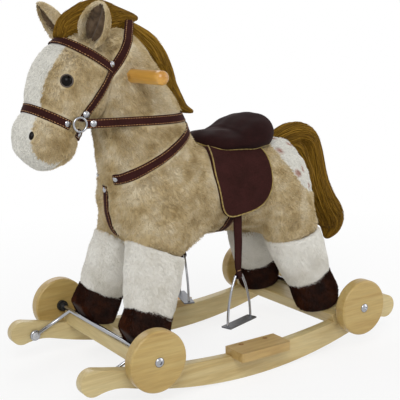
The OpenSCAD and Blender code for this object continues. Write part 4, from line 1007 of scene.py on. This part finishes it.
def laid(at, normal, first, angles, tree=plush_tree):
    """Where a strap lies: in five planes across its width, rays from outside towards a middle point meet the
    plush. The radii are fitted by a straight line across the strap and evened out along it. Returns its
    places by step and plane, and the way it faces at each step."""
    normal = np.asarray(normal, float) / np.linalg.norm(normal)
    one = first - normal * (np.asarray(first, float) @ normal)
    one /= np.linalg.norm(one)
    out = np.cos(angles)[:, None] * one + np.sin(angles)[:, None] * np.cross(normal, one)
    across = np.linspace(-0.5, 0.5, 5) * strap_w
    start = (np.asarray(at, float) + across[:, None] * normal)[None] + outside * out[:, None]
    far = np.array([[outside - (tree.ray_cast(p, -w)[3] or outside) for p in row]
                    for row, w in zip(start.tolist(), out)])
    slope = far @ [-0.2, -0.1, 0, 0.1, 0.2]
    far = evened(far.mean(1, keepdims=True) + np.linspace(-2, 2, 5) * slope[:, None], np.hanning(13)[1:-1])
    return start - (outside - far[..., None]) * out[:, None], out


def strap_rings(rows, out):
    """A strap's rings: a flat back, rounded edges and a slightly raised middle, on rows of five places across
    its width."""
    across = np.array([-1, -0.5, 0, 0.5, 1, 1, 0.95, 0.5, 0, -0.5, -0.95, -1])
    high = np.array([0, 0, 0, 0, 0, 0.6, 0.95, 1.02, 1.1, 1.02, 0.95, 0.6]) * strap_t + strap_lift
    spot = (across + 1) * 2
    left = np.minimum(spot.astype(int), 3)
    part = (spot - left)[:, None]
    return rows[:, left] * (1 - part) + rows[:, left + 1] * part + high[:, None] * out[:, None]


def stitch_rows(rows, out):
    """Running stitches: six-sided spindles 3.2 mm long, evenly spaced in a line along each edge of a strap."""
    found = []
    share = 0.5 - stitch_inset / strap_w
    for side in (0.5 - share, 0.5 + share):
        line = rows[:, 0] * (1 - side) + rows[:, -1] * side + (strap_t * 0.98 + strap_lift) * out
        length = np.linalg.norm(np.diff(line, axis=0), axis=1).sum()
        count = max(int(length / stitch_pitch), 2)
        both = evenly(np.hstack([line, out]), 2 * count + 1, False)
        here, ahead, face = both[1::2, :3], both[2::2, :3] - both[:-2:2, :3], both[1::2, 3:]
        ahead /= np.linalg.norm(ahead, axis=1, keepdims=True)
        face /= np.linalg.norm(face, axis=1, keepdims=True)
        aside = np.cross(face, ahead)
        reach = np.array([-1.6, -0.9, 0.9, 1.6])
        fat = np.array([0.22, 0.55, 0.55, 0.22])
        round_by = np.linspace(0, 2 * np.pi, 6, endpoint=False)
        rings = (here[:, None, None] + reach[:, None, None] * ahead[:, None, None]
                 + (fat[:, None] * np.cos(round_by))[..., None] * face[:, None, None]
                 + (fat[:, None] * np.sin(round_by))[..., None] * aside[:, None, None])
        found += [tube(r) for r in rings]
    return found


stitches = []


def strap(name, node_name, *runs):
    """One strap of several runs, each of places and facings. Its stitches join the rest."""
    for run in runs:
        stitches.extend(stitch_rows(*run))
    joined(name, [tube(strap_rings(*run)) for run in runs], suede, [node_name])


def degrees(low, high, count=120):
    """Angles from low to high degrees."""
    return np.radians(np.linspace(low, high, count))


ring_at = np.array([263.2, 53.5, 442.7])
lean_back = np.radians(4.5)
headstall = laid(from_head([-35.2, 0, -60]), np.array([np.cos(lean_back), 0, np.sin(lean_back)]) @ head_axes,
                 head_axes[2], degrees(-141, 141, 180))
# Over the poll the headstall leaves the plush and goes up between mane and forelock.
step = np.degrees(np.abs(np.arcsin(np.clip(headstall[1][:, 1], -1, 1)))) > 20
step |= headstall[1] @ head_axes[2] < 0
first, last = np.argmin(step) - 1, len(step) - np.argmin(step[::-1])
ends = headstall[0][[first, last]]
pace = np.linspace(0, 1, 50)
pull = np.interp(pace, [0, 0.2, 0.38, 0.5, 0.62, 0.8, 1], [0, 0.22, 0.4, 0.5, 0.6, 0.78, 1])
rise = np.interp(pace, [0, 0.14, 0.34, 0.5, 0.66, 0.86, 1], [0, 16, 36, 43, 36, 16, 0])
rise = evened(rise, np.hanning(11)[1:-1])
crossing = ends[0] + (ends[1] - ends[0]) * pull[:, None, None] + rise[:, None, None] * head_axes[2]
way = np.gradient(crossing[:, 2], axis=0)
facing_out = np.cross(way, head_axes[0])
facing_out *= (np.sign(facing_out @ head_axes[2]) / np.linalg.norm(facing_out, axis=1))[:, None]
headstall = (np.concatenate([headstall[0][:first], crossing, headstall[0][last + 1:]]),
             np.concatenate([headstall[1][:first], facing_out, headstall[1][last + 1:]]))
browband = laid(from_head([-10, 0, -18]), head_axes[2], head_axes[0], degrees(-121, 121, 140))
browband = (browband[0] + 0.9 * browband[1][:, None], browband[1])
noseband = laid(from_head([-7, 0, -131]), head_axes[2] + 0.07 * head_axes[0], head_axes[0], degrees(-100, 100))
chin = laid(from_head([-33, 0, -133]), head_axes[2], -head_axes[0], degrees(-84, 84), head_tree)
strap("suede_headstall", "headstall", headstall)
strap("suede_browband", "browband", browband)
strap("suede_noseband", "noseband", noseband, chin)
# The reins lie round the back of the neck, and both ends leave it and run straight to the bit rings.
rows, out = laid([115, 0, 439.5], [-0.02, 0, 1], [-1, 0, 0], degrees(-122, 122, 160))
for side in (1, -1):
    at_start = side * rows[0, 2, 1] > 0
    end = rows[0] if at_start else rows[-1]
    goal = end.copy()
    goal[:, 0] = ring_at[0] - 11
    goal[:, 1] = side * (ring_at[1] - 1.5)
    goal[:, 2] = ring_at[2] + (end[:, 2] - end[2, 2])
    lead = end + (goal - end) * np.linspace(0, 1, 26)[1:, None, None]
    face = np.array([side * (end[2, 1] - goal[2, 1]), side * (goal[2, 0] - end[2, 0]), 0])
    face = np.tile(face / np.linalg.norm(face), (len(lead), 1))
    if at_start:
        rows, out = np.concatenate([lead[::-1], rows]), np.concatenate([face, out])
    else:
        rows, out = np.concatenate([rows, lead]), np.concatenate([out, face])
reins = (rows, out)
strap("suede_reins", "reins", reins)
breast = laid([110, 0, 388], [0.462, 0, 0.887], [1, 0, 0], degrees(15, 345, 230))
chest = laid([120, 0, 320], [0, 1, 0], [1, 0, 0], degrees(-8, 52, 60))
strap("suede_breast_strap", "breast_strap", breast, chest)
girth = laid([-4, 0, 306], [1, 0, 0], [0, 0, -1], degrees(-66, 66, 120))
strap("suede_girth", "girth", girth)
joined("tan_stitches", stitches, thread, [])

# Stirrup leathers: folded faux-suede straps that hang from pins behind the saddle flaps.
# Each is sewn into a loop round the stirrup's bar, and swings on its pin.
leather_w, leather_t, leather_l, tab_l = 16.5, 3.2, 112.0, 8
pin_at = np.array([-8, 89.4, 272])
for side, turned in (("left", 18), ("right", 72)):
    down = np.linspace(tab_l, -leather_l + 1.5, 60)
    twist = np.radians(turned) * np.clip((-down - 20) / (leather_l - 26), 0, 1)
    along = np.stack([np.cos(twist), np.sin(twist), 0 * twist], 1)
    face = np.stack([-np.sin(twist), np.cos(twist), 0 * twist], 1)
    middle = pin_at + down[:, None] * [0, 0, 1.0]
    middle += face * (0.5 * np.sin(down / 11.0) * np.clip(-down / 40, 0, 1))[:, None]
    half = leather_w / 2 * np.where(down > 0, np.sqrt(np.maximum(1 - (down / (tab_l + 0.01)) ** 2, 0.02)), 1)
    half = evened(half * np.where(down < -100, 0.72, 1), np.ones(5))
    edge = np.array([-1, -0.7, -0.35, 0, 0.35, 0.7, 1, 1, 0.7, 0.35, 0, -0.35, -0.7, -1])
    thick = leather_t * np.array([-0.35, -0.5, -0.42, -0.5, -0.42, -0.5, -0.35,
                                  0.35, 0.5, 0.36, 0.5, 0.36, 0.5, 0.35])
    rings = (middle[:, None] + (half[:, None] * edge)[..., None] * along[:, None]
             + thick[:, None] * face[:, None])
    turn = np.linspace(0, 2 * np.pi, 40, endpoint=False)
    bar = pin_at - [0, 0, leather_l]
    roll_r = np.array([3.3, 4.6, 5.1, 5.1, 4.6, 3.3, 2.3, 2.3, 2.3, 2.3])
    roll_at = np.array([-4.9, -4.9, -4.2, 4.2, 4.9, 4.9, 4.9, 3.0, -3.0, -4.9])
    roll = (bar + roll_at[:, None] * along[-1] + (roll_r * np.cos(turn)[:, None])[..., None] * face[-1]
            + (roll_r * np.sin(turn)[:, None])[..., None] * np.array([0, 0, 1.0]))
    skins = [tube(rings * flip[side]), tube(roll * flip[side], loop=True)]
    joined("suede_leather_" + side, skins, suede, ["leather_" + side], side + "_leather")
    seam = middle[-5] + np.linspace(-0.72, 0.72, 9)[:, None] * half[-5] * along[-5]
    off = leather_t * 0.52 * face[-5]
    beads = [cord_round((seam + away * off) * flip[side], 0.5, 6, False) for away in (1, -1)]
    joined("leather_stitch_" + side, beads, thread, [], side + "_leather")

# Rivets: domed chromed caps, pressed on where straps cross or end.
# Each sits on the strap with a thin rim under its dome.
cap_profile = [[0, 2.3], [1.6, 2.2], [3.0, 1.7], [3.9, 0.8], [4.4, 0.5], [5.2, 0.45], [5.4, 0.0], [5.2, -1.6],
               [0, -1.8]]


def rivet_near(run, target):
    """A rivet cap on the strap at the step nearest to a target."""
    rows, out = run
    k = np.argmin(np.linalg.norm(rows[:, 2] - target, axis=1))
    return lathe(cap_profile, rows[k, 2] + (strap_t + strap_lift) * out[k], out[k], 24)


rivet_skins = [rivet_near(chest, np.array([195.3, 0, 324.7]))]
for side in ("left", "right"):
    for x, z in ((-31, -14), (-30, -103), (-9, -130)):
        at, _ = head_side(x, z, side)
        aside = flip[side] * [0, 1, 0]
        rivet_skins.append(lathe(cap_profile, at + (strap_t + 0.9) * aside, aside, 24))
    for run, target in ((reins, ring_at + [-21, 0, 0]), (chin, from_head([-43, 32, -133])),
                        (breast, np.array([194, 29, 351.8]))):
        rivet_skins.append(rivet_near(run, target * flip[side]))
joined("rivet_caps", rivet_skins, chrome, [])

# Pile: short tufts all over the plush, combed down and back. Straps and saddle press it flat, so none stands
# under them. A tuft stands for a lock of fibres: single ones are too fine to show, so they are drawn coarser.
# Round the straps and along the neck seams the bare skin shows, painted darker: painted shade.
tack_skins = [bpy.data.objects[name] for name in (
    "suede_headstall", "suede_browband", "suede_noseband", "suede_reins", "suede_breast_strap", "suede_girth",
    "suede_seat", "suede_flap_left", "suede_flap_right", "suede_leather_left", "suede_leather_right",
    "safety_eyes", "eye_washers", "nostril_pads", "rivet_caps")]
tack_points, tack_faces, total = [], [], 0
for piece in tack_skins:
    tack_points += [tuple(v.co) for v in piece.data.vertices]
    tack_faces += [[total + k for k in f.vertices] for f in piece.data.polygons]
    total += len(piece.data.vertices)
tack_tree = BVHTree.FromPolygons(tack_points, tack_faces)


def clear_of_tack(p, reach=2.6):
    """True where no strap or saddle lies within reach mm of a point."""
    real = (p * MM + [mid_x, 0, 0]).tolist()
    return np.array([tack_tree.find_nearest(q, reach * MM)[0] is None for q in real])


def clear_of_axle(p):
    """True off the path of a folding axle's rod and above the crossbar that the hoof stands on."""
    far = np.hypot(np.abs(p[:, 0]) - pivot_x, p[:, 2] - pivot_z)
    lean = np.sign(p[:, 0]) * bar_tilt
    high = -np.sin(lean) * p[:, 0] + np.cos(lean) * (p[:, 2] - rocker_r) + bar_top_r
    return (far > rod_sweep + 0.6) & (high > 0.8)


def off_seams(p):
    """True clear of the straps and more than 1.3 mm off the seams of the panel down the front of the neck."""
    near = np.abs(np.abs(p[:, 1]) - neck_seam_y - 0.06 * (p[:, 2] - 400)) < 1.3
    return clear_of_tack(p) & ~(near & (p[:, 0] > 150) & (p[:, 2] > 345))


def comb_down(p):
    """The lie of the pile: down and back over the whole horse."""
    return np.tile([-0.55, 0.0, -0.85], (len(p), 1))


def comb_head(p):
    """The lie of the pile on the head: down the face and back over the cheeks."""
    return np.tile(-0.9 * head_axes[2] - 0.45 * head_axes[0], (len(p), 1))


def pile(name, points, face_sets, finish, count, long, thick, comb, seed, keep, patch=None, spot=None,
         rise=0.6):
    """Plush pile: count four-faced tufts at random places by area. Each leans along comb by its normal times
    rise, lower where patch marks the short white pile, is long mm to its tip and thick mm at its root just
    under the skin. Only those stay whose root and tip both pass keep."""
    rng = np.random.default_rng(seed)
    normals, triangles = facing(points, face_sets)
    a, b, c = (points[triangles[:, i]] for i in range(3))
    area = np.cumsum(np.linalg.norm(np.cross(b - a, c - a), axis=1))
    pick = np.searchsorted(area, rng.random(count) * area[-1])
    u, v = rng.random((2, count, 1))
    u, v = np.where(u + v > 1, 1 - u, u), np.where(u + v > 1, 1 - v, v)
    root = a[pick] + u * (b - a)[pick] + v * (c - a)[pick]
    way = normals[triangles[pick]].mean(1)
    lean = comb(root) + rng.normal(scale=0.28, size=(count, 3))
    lean -= way * (lean * way).sum(1, keepdims=True)
    lean /= np.maximum(np.linalg.norm(lean, axis=1, keepdims=True), 1e-9)
    white = patch(root) if patch else np.zeros(count)
    brushed_up = 1 + 0.35 * lumps(root, 38, seed + 1) + rng.normal(scale=0.2, size=count)
    stand = way * (rise * (1 - 0.65 * white) * brushed_up)[:, None] + lean
    stand /= np.linalg.norm(stand, axis=1, keepdims=True)
    reach = long * rng.uniform(0.7, 1.2, (count, 1))
    side = np.cross(way, lean) * thick / 2
    tuft = np.stack([root + side - 0.6 * way, root - side - 0.6 * way, root - lean * thick / 2 + 0.3 * way,
                     root + stand * reach], 1)
    good = keep(root) & keep(tuft[:, 3])
    tuft = tuft[good]
    first = 4 * np.arange(len(tuft))[:, None]
    faces = np.concatenate([first + f for f in ([0, 1, 2], [0, 3, 1], [1, 3, 2], [2, 3, 0])])
    made = skin_object(name, tuft.reshape(-1, 3), [faces], finish)
    made.data.polygons.foreach_set("use_smooth", np.zeros(len(faces), bool))
    spotted = spot(root[good]) if spot else np.zeros(len(tuft))
    # Roots are marked 0 and tips 1, so that the finish paints each tuft darker at its root and paler at its
    # tip: painted shade and painted light.
    mark(made, tip=np.tile([0.0, 0.0, 0.2, 1.0], len(tuft)), tone=np.repeat(rng.random(len(tuft)), 4),
         patch=np.repeat(white[good], 4), spot=np.repeat(spotted, 4))
    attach(made, "horse")


for side, (points, faces) in ear_skins.items():
    rolled = np.abs(np.arange(len(faces[0])) % len(angle) - len(angle) / 2) < 0.36 * len(angle)
    pile("ear_pile_" + side, points, [faces[0][rolled]], tan_plush, 6000, 4.0, 1.3, comb_down, 57,
         clear_of_tack)
body_middle = body_points[body_faces[0]].mean(1)
on_neck = (body_middle[:, 2] > 335) & (body_middle[:, 0] > 55)
for name, here, count, seed in (("torso_pile", ~on_neck, 48000, 51), ("neck_pile", on_neck, 34000, 52)):
    pile(name, body_points, [body_faces[0][here]], tan_plush, count, 5.5, 1.5, comb_down, seed,
         off_seams, rump_patch, rump_spots, 0.9)
pile("head_pile", head_points, head_faces, tan_plush, 30000, 4.8, 1.4, comb_head, 53,
     clear_of_tack, blaze, rise=0.9)
for seed, (name, (points, faces)) in enumerate(leg_skins.items(), 60):
    kind = name.split("_")[0]
    finish, slot = leg_cloth[kind]
    long = 4.2 if kind == "stocking" else 6.0
    pile(name + "_pile", points, faces, finish, 14000, long, 1.4, comb_down, seed, clear_of_axle,
         rise=0.3)

# Size: the box of all that is seen, in metres.
low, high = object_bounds()
